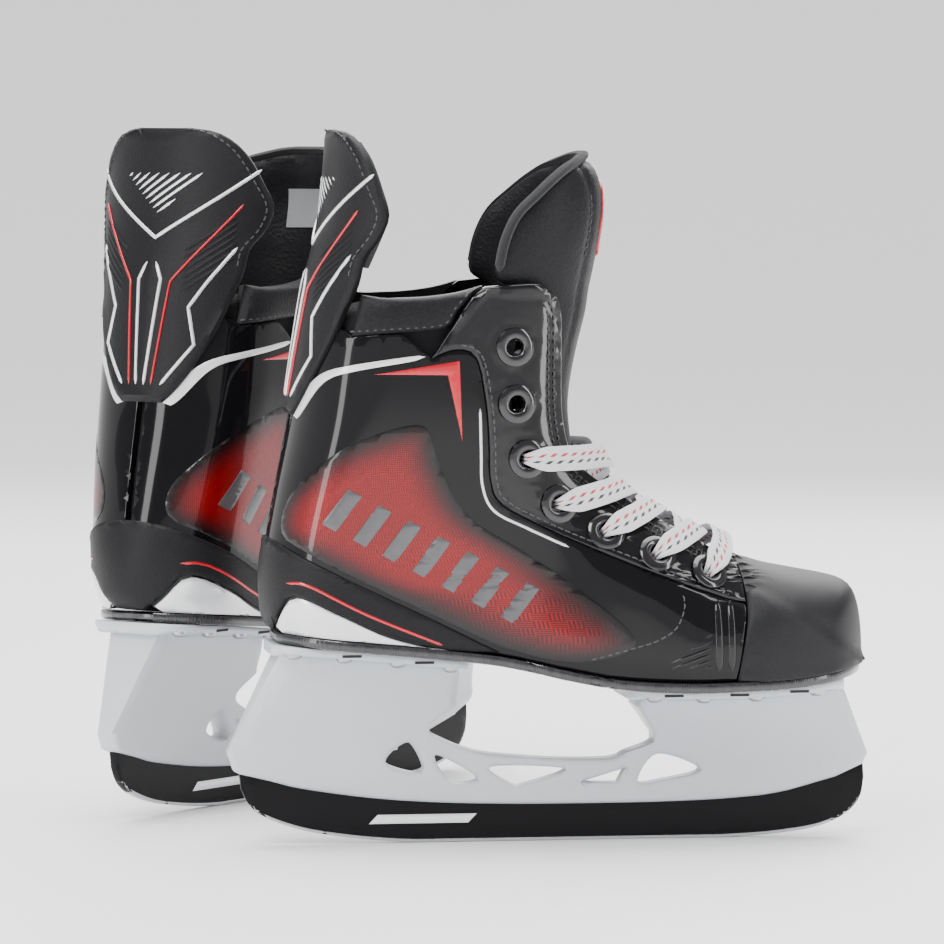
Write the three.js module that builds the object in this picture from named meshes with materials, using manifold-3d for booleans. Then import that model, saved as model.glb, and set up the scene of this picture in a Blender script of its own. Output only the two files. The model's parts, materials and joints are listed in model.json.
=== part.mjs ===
// A pair of youth ice hockey skates, in millimetres, +Z up, standing on the blades.
// Each skate is built in its own frame: X runs from the heel end of the blade to the toe,
// Y = 0 is the blade's plane and Z = 0 is the ice. The right skate points along +X; the
// left one is its mirror image, turned by PAIR_YAW. The right skate's outer side is -Y.
import * as THREE from "three";
import { mergeVertices } from "three/addons/utils/BufferGeometryUtils.js";
import Module from "manifold-3d";

const wasm = await Module();
wasm.setup();

// ---- Driving dimensions ----
const BLADE_LENGTH = 215;
const BLADE_THICKNESS = 3;
const BOOT_LENGTH = 206; // heel counter to toe cap
const BOOT_WIDTH = 75; // across the ball of the foot
const BOOT_HEIGHT = 186; // ball of the foot to the top of the tendon guard
const BOOT_STAND = 56; // sole's upper face above the ice, at the ball of the foot

const SOLE_THICKNESS = 3.5;
const INSOLE_THICKNESS = 4;
const OVERLAY_THICKNESS = 0.9; // counter, eyestay and heel supports
const SHELL_THICKNESS = 1.8; // quarters
const LINER_THICKNESS = 3;
const TOE_CAP_THICKNESS = 3.5;
const TONGUE_THICKNESS = 7;
const TONGUE_TOP_THICKNESS = 9;
const GUARD_THICKNESS = 2.6;
const GUARD_PAD_THICKNESS = 3;

const FLANGE_THICKNESS = 2.6;
const SLOT_DEPTH = 4.5; // how far the steel sits up inside the holder
const SLOT_CLEARANCE = 0.3;
const LUG_LENGTH = 12;
const LUG_HEIGHT = 12;
const BOLT_RADIUS = 2;
const BOLT_HEAD_RADIUS = 4;
const BOLT_HEAD_HEIGHT = 2;

const EYELET_COUNT = 7;
const FIRST_LACED_EYELET = 2; // counted from 0 at the top; the two above it stay empty
const EYELET_BORE_RADIUS = 2.5;
const EYELET_BARREL_RADIUS = 3.4;
const EYELET_FLANGE_RADIUS = 6.2;
const EYELET_FLANGE_THICKNESS = 1;
const STRIP_THICKNESS = 1.2;
const LACE_WIDTH = 8;
const LACE_THICKNESS = 1.2;
const LACE_BUNCH_RADIUS = 1.8; // the lace gathered up inside an eyelet

const GAP = 0.3; // between pieces that touch
const BORE_SIDES = 8; // facets round a bore, a bolt or an eyelet
const JOIN_LAP = 0.1; // how far two shapes of one piece run into each other
const PAIR_YAW = THREE.MathUtils.degToRad(47.3);
const PAIR_HEEL = new THREE.Vector2(-36.8, 73.5); // left blade's heel end from the right one's

// ---- The boot's pattern ----
// Outlines are drawn once for the reference size below, and along() and up() carry them to
// the real size. Every thickness, clearance and bore stays as stated above.
const PATTERN = { heel: 7.5, length: 206, ball: 56, height: 186, width: 75, blade: 215, shell: 1.8 };
const BOOT_SETBACK = BLADE_LENGTH / 2 - (PATTERN.blade / 2 - PATTERN.heel) * (BOOT_LENGTH / PATTERN.length);
const along = (x) => BOOT_SETBACK + ((x - PATTERN.heel) * BOOT_LENGTH) / PATTERN.length;
const up = (z) => BOOT_STAND + ((z - PATTERN.ball) * BOOT_HEIGHT) / PATTERN.height;
const wide = (y) => (y * BOOT_WIDTH) / PATTERN.width;
const draw = (points) => points.map(([x, z]) => [along(x), up(z)]);

const BACK_LINE = draw([
  [11.5, 50], [10.9, 70.8], [8.2, 79], [7.5, 92], [9, 104], [12, 121], [16.5, 144],
  [19.6, 166], [22.9, 186], [27.8, 206.7], [30.2, 225.6], [31.2, 241], [31.4, 246],
]);
const FRONT_LINE = draw([
  [213.6, 46], [213.6, 66], [212.6, 77], [210.5, 84], [207.2, 87.4], [201, 89.4], [190, 91.5],
  [178, 94], [170, 97.5], [161, 103.5], [152, 109.5], [143, 114], [134, 119], [127, 125.5],
  [123.5, 133], [122, 143], [121.5, 152], [122.3, 168], [124.5, 186], [126, 206],
]);
const SOLE_TOP = draw([
  [-8, 74], [8, 73.2], [41, 70.3], [78, 66.5], [92, 64.2], [108, 60.6], [126, 57.5],
  [148, 56.2], [166, 56.3], [185, 57], [205, 59.3], [222, 61.5],
]);
const SOLE_HALF_WIDTH = [
  [5, 21], [14, 26], [30, 28.5], [60, 28], [90, 29], [120, 34.5], [146, 37.5], [166, 37],
  [184, 34.5], [198, 30], [208, 24], [215, 17],
].map(([x, y]) => [along(x), wide(y)]);
const ANKLE_HALF_WIDTH = [
  [50, 27.5], [80, 29], [105, 30.5], [130, 33], [150, 34.3], [190, 34.6], [215, 36],
].map(([z, y]) => [up(z), wide(y)]);
const LEVELS = [46, 68, 81, 88, 92, 97, 105, 117, 134, 155, 177, 200].map(up);

const FACING_EDGE = draw([
  [79.3, 189.6], [88, 190.4], [97.4, 190.5], [102.8, 187.5], [105.4, 181.5], [105.8, 170],
  [105.8, 156], [106.3, 146], [108.2, 136.5], [112, 129.8], [118, 124.6], [125, 120],
  [134, 114], [147, 106.6], [156, 101.6], [163.8, 97.2],
]);
const FACING_SEAM = draw([[61, 165.8], [74.5, 186.5]]); // between eyestay and collar pad
const COLLAR_SEAM = draw([[34, 172.8], [47.4, 174.1], [65.2, 175.6], [69.9, 181.3], [74.5, 186.5]]);
const COLLAR_TOP = draw([[78.5, 189.5], [70.2, 187.2], [59, 185.8], [46, 185.6], [37.5, 187]]);
const EYESTAY_SEAM = draw([
  [61, 165.8], [69.3, 168.6], [76, 166], [79.3, 151.6], [80.6, 136.7], [81.2, 125],
  [85.2, 116.8], [102, 107.8], [120, 100], [144, 90.5], [166.5, 82.8],
]);
const TOE_SEAM = draw([[165.4, 46], [168.8, 79.4], [167.9, 98]]); // quarters' end, toe cap's start
const COUNTER_TOP = draw([[-8, 108], [5, 106.5], [19.9, 98.8], [36.6, 90.5], [61.5, 78.6], [86, 66.5]]);
const COUNTER_FOOT = draw([[68, 66.5], [47.7, 72.8], [31.1, 80.3], [17.2, 86.2], [12.6, 80.5], [8.8, 72]]);
const GUARD_BASE_EDGE = draw([[17.6, 146], [22.5, 157], [29, 171], [33.5, 182]]);
const EYELET_LINE = draw([
  [88.9, 169.5], [89.6, 150.3], [92.8, 133], [104.7, 116.5], [121.6, 106.4], [138.3, 98.9], [155.6, 92.6],
]);
const EYELET_RIDGE = draw([
  [121, 172], [120.5, 153], [122, 138], [128, 124], [137, 117], [147.5, 111.5], [163, 102],
]); // where a line from each eyelet across the tongue meets the boot's centre plane

// ---- Small maths helpers ----
const clamp01 = (t) => Math.min(1, Math.max(0, t));
const smooth = (t) => clamp01(t) ** 2 * (3 - 2 * clamp01(t));
const mix = (a, b, t) => a + (b - a) * t;
const round = (u) => Math.sqrt(1 - (1 - clamp01(u)) ** 2); // quarter of an ellipse

function table(points, x) {
  const i = Math.max(1, points.findIndex((p) => p[0] >= x));
  const k = points[points.length - 1][0] < x ? points.length - 1 : i;
  const [a, b] = [points[k - 1], points[k]];
  return mix(a[1], b[1], clamp01((x - a[0]) / (b[0] - a[0])));
}

// A smooth curve through [x, z] points, as count + 1 points.
function curve(points, count) {
  const corners = points.map(([x, z]) => new THREE.Vector3(x, 0, z));
  const path = new THREE.CatmullRomCurve3(corners, false, "centripetal");
  return path.getPoints(count).map((p) => [p.x, p.z]);
}

// An outline moved sideways by a distance: positive to the left of its direction.
function shifted(points, distance) {
  return points.map((p, i) => {
    const before = points[Math.max(0, i - 1)];
    const after = points[Math.min(points.length - 1, i + 1)];
    const length = Math.hypot(after[0] - before[0], after[1] - before[1]);
    return [
      p[0] - ((after[1] - before[1]) * distance) / length,
      p[1] + ((after[0] - before[0]) * distance) / length,
    ];
  });
}

function distanceTo(points, x, z) {
  let nearest = Infinity;
  for (let i = 1; i < points.length; i++) {
    const [ax, az] = points[i - 1];
    const [bx, bz] = [points[i][0] - ax, points[i][1] - az];
    const t = clamp01(((x - ax) * bx + (z - az) * bz) / (bx * bx + bz * bz));
    nearest = Math.min(nearest, Math.hypot(x - ax - t * bx, z - az - t * bz));
  }
  return nearest;
}

const soleTop = (x) => table(SOLE_TOP, x);
const soleBottom = (x) => soleTop(x) - SOLE_THICKNESS;

// ---- Solids ----
function solid(geometry) {
  const bare = geometry.clone();
  bare.deleteAttribute("normal");
  bare.deleteAttribute("uv");
  const merged = mergeVertices(bare, 1e-4);
  return new wasm.Manifold(
    new wasm.Mesh({
      numProp: 3,
      vertProperties: new Float32Array(merged.attributes.position.array),
      triVerts: new Uint32Array(merged.index.array),
    }),
  );
}

function geometryOf(made) {
  const mesh = made.getMesh();
  return new THREE.BufferGeometry()
    .setAttribute("position", new THREE.BufferAttribute(new Float32Array(mesh.vertProperties), 3))
    .setIndex(new THREE.BufferAttribute(new Uint32Array(mesh.triVerts), 1));
}

const shapeOf = (points) => new THREE.Shape(points.map(([x, y]) => new THREE.Vector2(x, y)));

// A side-view outline [x, z] pushed through from y = low to y = high.
function sidePrism(points, low, high, holes = []) {
  const shape = shapeOf(points);
  shape.holes = holes.map((hole) => new THREE.Path(hole.map(([x, z]) => new THREE.Vector2(x, z))));
  const geometry = new THREE.ExtrudeGeometry(shape, { depth: high - low, bevelEnabled: false });
  return geometry.rotateX(Math.PI / 2).translate(0, high, 0);
}

// A plan outline [x, y] pushed up from z = low to z = high.
function planPrism(points, low, high) {
  const geometry = new THREE.ExtrudeGeometry(shapeOf(points), { depth: high - low, bevelEnabled: false });
  return geometry.translate(0, 0, low);
}

// A solid through rings of points, each ring the same count and turning the same way.
function loft(rings) {
  const count = rings[0].length;
  const positions = rings.flat().flatMap((p) => [p.x, p.y, p.z]);
  const index = [];
  for (let r = 0; r + 1 < rings.length; r++)
    for (let i = 0; i < count; i++) {
      const [a, b] = [r * count + i, r * count + ((i + 1) % count)];
      index.push(a, b, b + count, a, b + count, a + count);
    }
  [0, rings.length - 1].forEach((r) => {
    const flat = rings[r].map((p) => p.clone().sub(rings[r][0]));
    const normal = new THREE.Vector3();
    flat.forEach((p, i) => normal.add(p.clone().cross(flat[(i + 1) % count])));
    normal.normalize();
    const across = flat.reduce((a, b) => (b.length() > a.length() ? b : a)).clone().normalize();
    const other = normal.clone().cross(across);
    const corners = flat.map((p) => new THREE.Vector2(p.dot(across), p.dot(other)));
    THREE.ShapeUtils.triangulateShape(corners, []).forEach(([a, b, c]) => {
      const face = [a, b, c].map((i) => r * count + i);
      index.push(...(r ? face : face.reverse()));
    });
  });
  return new THREE.BufferGeometry()
    .setAttribute("position", new THREE.Float32BufferAttribute(positions, 3))
    .setIndex(index);
}

function outwards(geometry) {
  const made = solid(geometry);
  if (made.volume() > 0) return made;
  const turned = geometry.clone();
  const index = Array.from(turned.index.array);
  for (let i = 0; i < index.length; i += 3) [index[i], index[i + 1]] = [index[i + 1], index[i]];
  return solid(turned.setIndex(index));
}

// ---- The boot's surface ----
// Half the boot's width at a side-view point, for a surface moved out by offset.
const frontLine = curve(FRONT_LINE, 60);
const backLine = curve(BACK_LINE, 30);
const silhouettes = new Map();
function silhouette(offset) {
  if (!silhouettes.has(offset)) {
    const front = shifted(frontLine, -offset);
    const back = shifted(backLine, offset);
    silhouettes.set(offset, { front, back });
  }
  return silhouettes.get(offset);
}
const lineAt = (points, z) => table(points.map(([x, h]) => [h, x]), z);
const BACK_ROUND = wide(28);
const TOE_ROUND = wide(17);
const VAMP_ROUND = wide(34);
const SHAFT_ROUND = wide(40);
const TUCK_HEIGHT = 12; // the walls draw in by TUCK over this height above the sole
const TUCK = 0.07;

function halfWidth(x, z, offset = 0) {
  const { front, back } = silhouette(offset);
  const risen = smooth((z - up(62)) / (up(112) - up(62)));
  const shaft = risen * (1 - smooth((x - along(95)) / (along(130) - along(95))));
  const width = mix(table(SOLE_HALF_WIDTH, x), table(ANKLE_HALF_WIDTH, z), shaft);
  const toeward = smooth((x - along(150)) / (along(188) - along(150)));
  const shin = smooth((z - up(118)) / (up(145) - up(118)));
  const frontRound = mix(mix(VAMP_ROUND, TOE_ROUND, toeward), SHAFT_ROUND, shin);
  const tuck = 1 - TUCK * (1 - clamp01((z - soleTop(x)) / TUCK_HEIGHT)) ** 2;
  const rear = round((x - lineAt(back, z)) / (BACK_ROUND + offset));
  const inside = x < lineAt(front, z) ? distanceTo(front, x, z) : 0;
  return (width * tuck + offset) * rear * round(inside / (frontRound + offset));
}
// The boot's centre line leans to the inner side towards the toe.
const LAST_SWING = 3;
const centreLine = (x) => LAST_SWING * smooth((x - along(105)) / (along(205) - along(105)));
// The surface is built as rings of facets: at each level, stations close up towards both ends.
const RING_HALF = 7;
const stationShare = (i) => (1 - Math.cos((Math.PI * i) / RING_HALF)) / 2;
function station(i, z, offset) {
  const { front, back } = silhouette(offset);
  const start = lineAt(back, z);
  const x = mix(start, lineAt(front, z), stationShare(i));
  return [x, halfWidth(x, z, offset)];
}
// Half the width of the facets themselves, so that what seats on the wall meets it.
function facetHalfWidth(x, z, offset) {
  const above = LEVELS.findIndex((level) => level > z);
  const share = (z - LEVELS[above - 1]) / (LEVELS[above] - LEVELS[above - 1]);
  const ring = Array.from({ length: RING_HALF + 1 }, (_, i) => {
    const [low, high] = [station(i, LEVELS[above - 1], offset), station(i, LEVELS[above], offset)];
    return [mix(low[0], high[0], share), mix(low[1], high[1], share)];
  });
  return table(ring, x);
}
// side is -1 for the outer wall and 1 for the inner one.
function surfacePoint(x, z, side, offset = 0) {
  return new THREE.Vector3(x, centreLine(x) + side * facetHalfWidth(x, z, offset), z);
}
function surfaceNormal(x, z, side) {
  const step = 1;
  const alongX = surfacePoint(x + step, z, side).sub(surfacePoint(x - step, z, side));
  const alongZ = surfacePoint(x, z + step, side).sub(surfacePoint(x, z - step, side));
  return alongX.cross(alongZ).normalize().multiplyScalar(-side);
}

// Everything inside the boot's surface at an offset, from below the sole to above the collar.
const volumes = new Map();
function bootVolume(offset) {
  if (volumes.has(offset)) return volumes.get(offset);
  const rings = LEVELS.map((z) =>
    Array.from({ length: 2 * RING_HALF }, (_, i) => {
      const side = i < RING_HALF ? -1 : 1;
      const [x, half] = station(i, z, offset);
      return new THREE.Vector3(x, centreLine(x) + side * half, z);
    }),
  );
  const made = outwards(loft(rings));
  volumes.set(offset, made);
  return made;
}
const layer = (inner, outer) => bootVolume(outer).subtract(bootVolume(inner));
const FAR = 120; // beyond the boot in any direction
const SKY = up(300);
const prism = (points, low = -FAR, high = FAR) => solid(sidePrism(points, low, high));
const aboveSole = (clearance) => {
  const edge = curve(SOLE_TOP, 12).map(([x, z]) => [x, z + clearance]);
  const [heelEnd, toeEnd] = [edge[0][1], edge[edge.length - 1][1]];
  return [...edge, [BLADE_LENGTH + FAR, toeEnd], [BLADE_LENGTH + FAR, SKY], [-FAR, SKY], [-FAR, heelEnd]];
};
const onSole = prism(aboveSole(GAP));

// Depths below the boot's outer surface
const OVERLAY_IN = -OVERLAY_THICKNESS;
const SHELL_OUT = OVERLAY_IN - GAP;
const SHELL_IN = SHELL_OUT - SHELL_THICKNESS;
const LINER_OUT = SHELL_IN - GAP;
const LINER_IN = LINER_OUT - LINER_THICKNESS;
const INSIDE = LINER_IN - GAP;
const CHORD_SAG = (BOOT_HEIGHT / PATTERN.height) ** 2; // longer facets sag by their length's square
const STRIP_OUT = SHELL_IN - 2 * GAP * CHORD_SAG;
const STRIP_IN = STRIP_OUT - STRIP_THICKNESS;
const EYELET_TAIL = 0.6; // how far an eyelet's barrel stands out inside the strip
const LACE_UNDER = STRIP_IN - EYELET_TAIL - GAP - LACE_THICKNESS / 2;
const WALL_GROWTH = SHELL_THICKNESS - PATTERN.shell;
const LACE_DIP = CHORD_SAG + WALL_GROWTH; // a stretched lace leaves the wall by this between its eyelets
const LACE_ROOM = 3.5 * CHORD_SAG; // and keeps this from the tongue
const TONGUE_OUT = LACE_UNDER - LACE_THICKNESS / 2 - LACE_ROOM;

// ---- Blade and holder ----
const BLADE_SCALE = BLADE_LENGTH / PATTERN.blade;
const STAND_SCALE = BOOT_STAND / PATTERN.ball;
const drawHolder = (points) => points.map(([x, z]) => [x * BLADE_SCALE, z * STAND_SCALE]);
const STEEL_EDGE = drawHolder([
  [0, 24.4], [10.5, 21.8], [21.4, 19], [44, 15.6], [67, 13.7], [94, 12.8], [121, 12.6],
  [149, 12.8], [170, 13.7], [186, 15.5], [204.5, 20.4], [214.5, 25],
]); // where the steel comes out of the holder
const STEEL_BOTTOM = [
  ...drawHolder([[215, 20], [213.6, 13.5], [209.5, 8.4], [203.5, 5], [195, 2.6], [180, 0.8]]),
  ...drawHolder([[152, 0], [70, 0]]),
  ...drawHolder([[50, 0.8], [36, 2.3], [21.4, 4.9], [9, 9.3], [3.4, 13.6], [0.6, 19]]),
];
const LUGS = [52, 172].map((x) => x * BLADE_SCALE);
const slotTop = curve(STEEL_EDGE.slice(1, -1), 9).map(([x, z]) => [x, z + SLOT_DEPTH]);

const LUG_DRAFT = 0.01; // each side of a lug leans in by this
function bladeOutline(grow) {
  const inLug = ([at]) => LUGS.some((x) => Math.abs(at - x) < LUG_LENGTH / 2 + grow);
  const lugged = shifted(slotTop, grow).filter((p) => !inLug(p));
  LUGS.forEach((x) => {
    const z = table(slotTop, x) + LUG_HEIGHT + grow;
    const half = LUG_LENGTH / 2 + grow;
    const base = (at) => table(slotTop, at) + grow;
    lugged.push([x - half, base(x - half)], [x - half + LUG_DRAFT, z]);
    lugged.push([x + half - LUG_DRAFT, z], [x + half, base(x + half)]);
  });
  lugged.sort((a, b) => a[0] - b[0]);
  return [STEEL_EDGE[0], ...lugged, STEEL_EDGE[STEEL_EDGE.length - 1], ...STEEL_BOTTOM];
}
const blade = solid(sidePrism(bladeOutline(0), -BLADE_THICKNESS / 2, BLADE_THICKNESS / 2));

const HOLDER_EDGE_HALF = 4.2; // half thickness along the steel
const HOLDER_TOP_HALF = 13; // and just under the flanges
const REAR_FLANGE = [9.5, 77.2].map((x) => x * BLADE_SCALE);
const FRONT_FLANGE = [130, 205.8].map((x) => x * BLADE_SCALE);
const REAR_FLANGE_HALF = 21;
const FRONT_FLANGE_HALF = 24;
const WINDOWS = [
  [[49.5, 28], [57.2, 34.5], [62.6, 25.6], [58.6, 24.2]],
  [[66.6, 30], [80.5, 22.6], [79, 20.6], [71.4, 21]],
  [[85.5, 25.6], [111, 24.6], [97, 19.6], [93.4, 19.6]],
  [[116.8, 20], [131.8, 24.6], [129.2, 19.8]],
  [[136.2, 20], [142.8, 29.2], [157.6, 23.8], [144.5, 20.4]],
].map(drawHolder); // the truss openings, rear to front

function boltGeometry(radius, low, high) {
  const upright = new THREE.CylinderGeometry(radius, radius, high - low, BORE_SIDES).rotateX(Math.PI / 2);
  return upright.translate(0, 0, (low + high) / 2);
}

// A strip under the sole from x0 to x1, cut to a rounded plan.
function flange([x0, x1], half) {
  const xs = Array.from({ length: 7 }, (_, i) => mix(x0, x1, i / 6));
  const roof = xs.map((x) => [x, soleBottom(x) - GAP]);
  const floor = xs.map((x) => [x, soleBottom(x) - GAP - FLANGE_THICKNESS]).reverse();
  const corner = half * 0.55;
  const plan = [];
  for (let i = 0; i < 16; i++) {
    const angle = (2 * Math.PI * (i + 0.5)) / 16;
    plan.push([
      Math.cos(angle) > 0 ? x1 - corner + corner * Math.cos(angle) : x0 + corner + corner * Math.cos(angle),
      (half - corner) * Math.sign(Math.sin(angle)) + corner * Math.sin(angle),
    ]);
  }
  return solid(sidePrism([...roof, ...floor], -half, half)).intersect(solid(planPrism(plan, 0, SKY)));
}

function makeHolder() {
  const under = (x) => soleBottom(x) - GAP - 0.5 * FLANGE_THICKNESS;
  const stops = ([x0, x1]) => Array.from({ length: 5 }, (_, i) => mix(x0, x1, i / 4));
  const roof = (span) => stops(span).map((x) => [x, under(x)]);
  const rearRoof = roof([14 * BLADE_SCALE, 74 * BLADE_SCALE]);
  const frontRoof = roof([135 * BLADE_SCALE, 203 * BLADE_SCALE]);
  const outline = [
    ...drawHolder([[-4.3, 31.5], [-2, 25.4]]),
    ...STEEL_EDGE.slice(0, -1),
    ...drawHolder([[214, 24.8], [215.8, 28.7]]),
    ...frontRoof.reverse(),
    ...drawHolder([[139.5, 39], [141.2, 34]]),
    ...drawHolder([[131.3, 30.2], [126.7, 28.3], [109, 28.3], [92.9, 29.5]]),
    ...drawHolder([[81.4, 31], [70.5, 34.8], [64, 39.6]]),
    ...rearRoof.reverse(),
  ];
  const body = sidePrism(outline, -1, 1, WINDOWS);
  const spots = body.attributes.position;
  for (let i = 0; i < spots.count; i++) {
    const roofHeight = under(spots.getX(i));
    const share = smooth((spots.getZ(i) - 28 * STAND_SCALE) / (roofHeight - 28 * STAND_SCALE));
    spots.setY(i, spots.getY(i) * mix(HOLDER_EDGE_HALF, HOLDER_TOP_HALF, share));
  }
  const slotHalf = BLADE_THICKNESS / 2 + SLOT_CLEARANCE;
  let made = solid(body);
  made = made.add(flange(REAR_FLANGE, REAR_FLANGE_HALF));
  made = made.add(flange(FRONT_FLANGE, FRONT_FLANGE_HALF));
  made = made.subtract(solid(sidePrism(bladeOutline(SLOT_CLEARANCE), -slotHalf, slotHalf)));
  LUGS.forEach((x) => {
    const bore = boltGeometry(BOLT_RADIUS + SLOT_CLEARANCE, table(slotTop, x), SKY).translate(x, 0, 0);
    made = made.subtract(solid(bore));
  });
  return made;
}
const holder = makeHolder();

// The bolt pulls the blade's lug up into its tower; its head lies in the outsole.
function makeBolt(x) {
  const headTop = soleTop(x) - GAP;
  const headBottom = headTop - BOLT_HEAD_HEIGHT;
  const shank = boltGeometry(BOLT_RADIUS, table(slotTop, x) + LUG_HEIGHT + GAP, headBottom + JOIN_LAP);
  const head = boltGeometry(BOLT_HEAD_RADIUS, headBottom, headTop);
  return solid(shank.translate(x, 0, 0)).add(solid(head.translate(x, 0, 0)));
}

// ---- Sole and insole ----
function soleStrip(low, high) {
  const edge = curve(SOLE_TOP, 12);
  const roof = edge.map(([x, z]) => [x, z + high]);
  const floor = edge.map(([x, z]) => [x, z + low]).reverse();
  return prism([...roof, ...floor]);
}
const SOLE_MARGIN = 0.4;
function makeOutsole() {
  const plate = soleStrip(-SOLE_THICKNESS, 0).intersect(bootVolume(SOLE_MARGIN));
  return LUGS.reduce((made, x) => {
    const head = boltGeometry(BOLT_HEAD_RADIUS + GAP, soleTop(x) - BOLT_HEAD_HEIGHT - 2 * GAP, SKY);
    const shank = boltGeometry(BOLT_RADIUS + SLOT_CLEARANCE, 0, SKY);
    return made.subtract(solid(head.translate(x, 0, 0))).subtract(solid(shank.translate(x, 0, 0)));
  }, plate);
}
const makeInsole = () => soleStrip(GAP, GAP + INSOLE_THICKNESS).intersect(bootVolume(INSIDE));

// ---- Upper ----
const HALVES = { lateral: -1, medial: 1 };
// The part of a piece on one side of the heel seam, which stands a hair off the centre plane.
function halfOf(points, side) {
  return side < 0 ? prism(points, -FAR, -GAP / 2) : prism(points, GAP / 2, FAR);
}
const CORNER_CLEARANCE = 3 * GAP; // where three pieces meet
const CURVED_SEAM_GAP = GAP + 0.1; // along a seam whose two sides are facets of different lengths
const frontEdge = curve(FACING_EDGE, 14);
const beforeToe = shifted(TOE_SEAM, GAP);
const quarterFront = shifted(EYESTAY_SEAM, -GAP);
const QUARTER_OUTLINE = [
  [-FAR, up(46)], beforeToe[0], [beforeToe[1][0], table(quarterFront, beforeToe[1][0])],
  ...[...quarterFront].reverse().slice(0, -1),
  FACING_SEAM[0].map((c) => c - CORNER_CLEARANCE),
  ...COLLAR_SEAM.slice(0, 3).reverse(), ...draw([[30.5, 176], [29.5, 185.5]]),
  [-FAR, up(185.5)],
];
const EYESTAY_OUTLINE = [
  ...frontEdge, [beforeToe[1][0], up(98)], [beforeToe[1][0], up(82.8)],
  ...[...EYESTAY_SEAM].reverse().slice(1), FACING_SEAM[1],
];
const COLLAR_OUTLINE = [...shifted(COLLAR_SEAM, GAP), ...COLLAR_TOP];
const COUNTER_OUTLINE = [
  ...COUNTER_TOP, [along(86), up(50)], ...COUNTER_FOOT, [along(8.8), up(50)], [-FAR, up(50)],
];
const SUPPORT_OUTLINE = [
  ...shifted(COUNTER_FOOT, CURVED_SEAM_GAP), [along(9), up(50)], [along(67.5), up(50)],
];
const GUARD_BASE_TOP = up(185.4);
const GUARD_BASE_OUTLINE = [
  [-FAR, up(146)], ...GUARD_BASE_EDGE,
  [GUARD_BASE_EDGE[3][0] + 0.5, GUARD_BASE_TOP], [-FAR, GUARD_BASE_TOP],
];
const TOE_OUTLINE = [
  TOE_SEAM[0], TOE_SEAM[1], [TOE_SEAM[1][0], up(150)],
  [BLADE_LENGTH + FAR, up(150)], [BLADE_LENGTH + FAR, up(46)],
];
const LINER_OUTLINE = [
  [-FAR, up(50)], ...draw([
    [158, 50], [158, 81], [143, 86.5], [120, 95.5], [100, 103.5], [83, 112.5], [77.5, 124], [76.5, 136],
    [75.5, 152], [72, 163], [66, 171.5], [74, 183], [46, 183.5],
  ]), [-FAR, up(184)],
];
const STRIP_OUTLINE = draw([
  [82.5, 177], [95.5, 177], [96.2, 151], [98.8, 137.5], [108.5, 122.5], [123.5, 113.3], [140.5, 105.5],
  [157.6, 96.6], [161.5, 90], [155.5, 88], [137, 94.5], [119, 101], [101, 109.5], [87, 126],
  [83.2, 140], [82.6, 151],
]);
const TONGUE_FOOT_OUTLINE = [
  ...draw([[93, 189.8], [92.5, 165], [93, 146], [96, 132]]),
  ...draw([[106, 118.5], [122, 109], [140, 101], [160, 93.5]]),
  ...draw([[164.5, 95.5], [166, 110], [150, 150], [150, 189.8]]),
];

const eyelets = new THREE.CatmullRomCurve3(EYELET_LINE.map(([x, z]) => new THREE.Vector3(x, 0, z)))
  .getSpacedPoints(EYELET_COUNT - 1).map((p) => [p.x, p.z]);

// A turned shape, its axis along Y, set square to the boot's surface at a side-view point.
function seated(geometry, [x, z], side) {
  const normal = surfaceNormal(x, z, side);
  const seat = surfacePoint(x, z, side);
  const turn = new THREE.Quaternion().setFromUnitVectors(new THREE.Vector3(0, 1, 0), normal);
  return geometry.applyQuaternion(turn).translate(seat.x, seat.y, seat.z);
}
// A cylinder through the wall at an eyelet, between two offsets from the boot's surface.
function throughWall(at, side, radius, inner, outer) {
  const pin = new THREE.CylinderGeometry(radius, radius, outer - inner, BORE_SIDES);
  return solid(seated(pin.translate(0, (inner + outer) / 2, 0), at, side));
}
const PIERCE = 12; // a cut's reach either side of the surface
const QUARTER_RELIEF = 0.2; // between an eyelet's barrel and the quarter beside it
const pierced = (made, side, clearance) =>
  eyelets.reduce(
    (wall, at) => wall.subtract(throughWall(at, side, EYELET_BARREL_RADIUS + clearance, -PIERCE, PIERCE)),
    made,
  );

const FLANGE_LIFT = 1.6; // the rim's seat above the eyestay
const FLANGE_OUT = FLANGE_LIFT + EYELET_FLANGE_THICKNESS;
// Rivet-like ring: a barrel through the wall with a rim on the outside.
function makeEyelet(at, side) {
  const inner = STRIP_IN - EYELET_TAIL;
  const profile = [
    [EYELET_BORE_RADIUS, inner], [EYELET_BARREL_RADIUS, inner],
    [EYELET_BARREL_RADIUS, FLANGE_LIFT], [EYELET_FLANGE_RADIUS, FLANGE_LIFT],
    [EYELET_FLANGE_RADIUS, FLANGE_OUT], [EYELET_BORE_RADIUS, FLANGE_OUT], [EYELET_BORE_RADIUS, inner],
  ].map(([radius, depth]) => new THREE.Vector2(radius, depth));
  return outwards(seated(new THREE.LatheGeometry(profile, BORE_SIDES), at, side));
}
function makeEyeletRow(side) {
  const half = side < 0 ? prism(STRIP_OUTLINE, -FAR, 0) : prism(STRIP_OUTLINE, 0, FAR);
  const strip = layer(STRIP_IN, STRIP_OUT).intersect(half);
  const middle = (EYELET_BORE_RADIUS + EYELET_BARREL_RADIUS) / 2;
  return eyelets.reduce(
    (row, at) => row.subtract(throughWall(at, side, middle, -PIERCE, PIERCE)).add(makeEyelet(at, side)),
    strip,
  );
}

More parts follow.
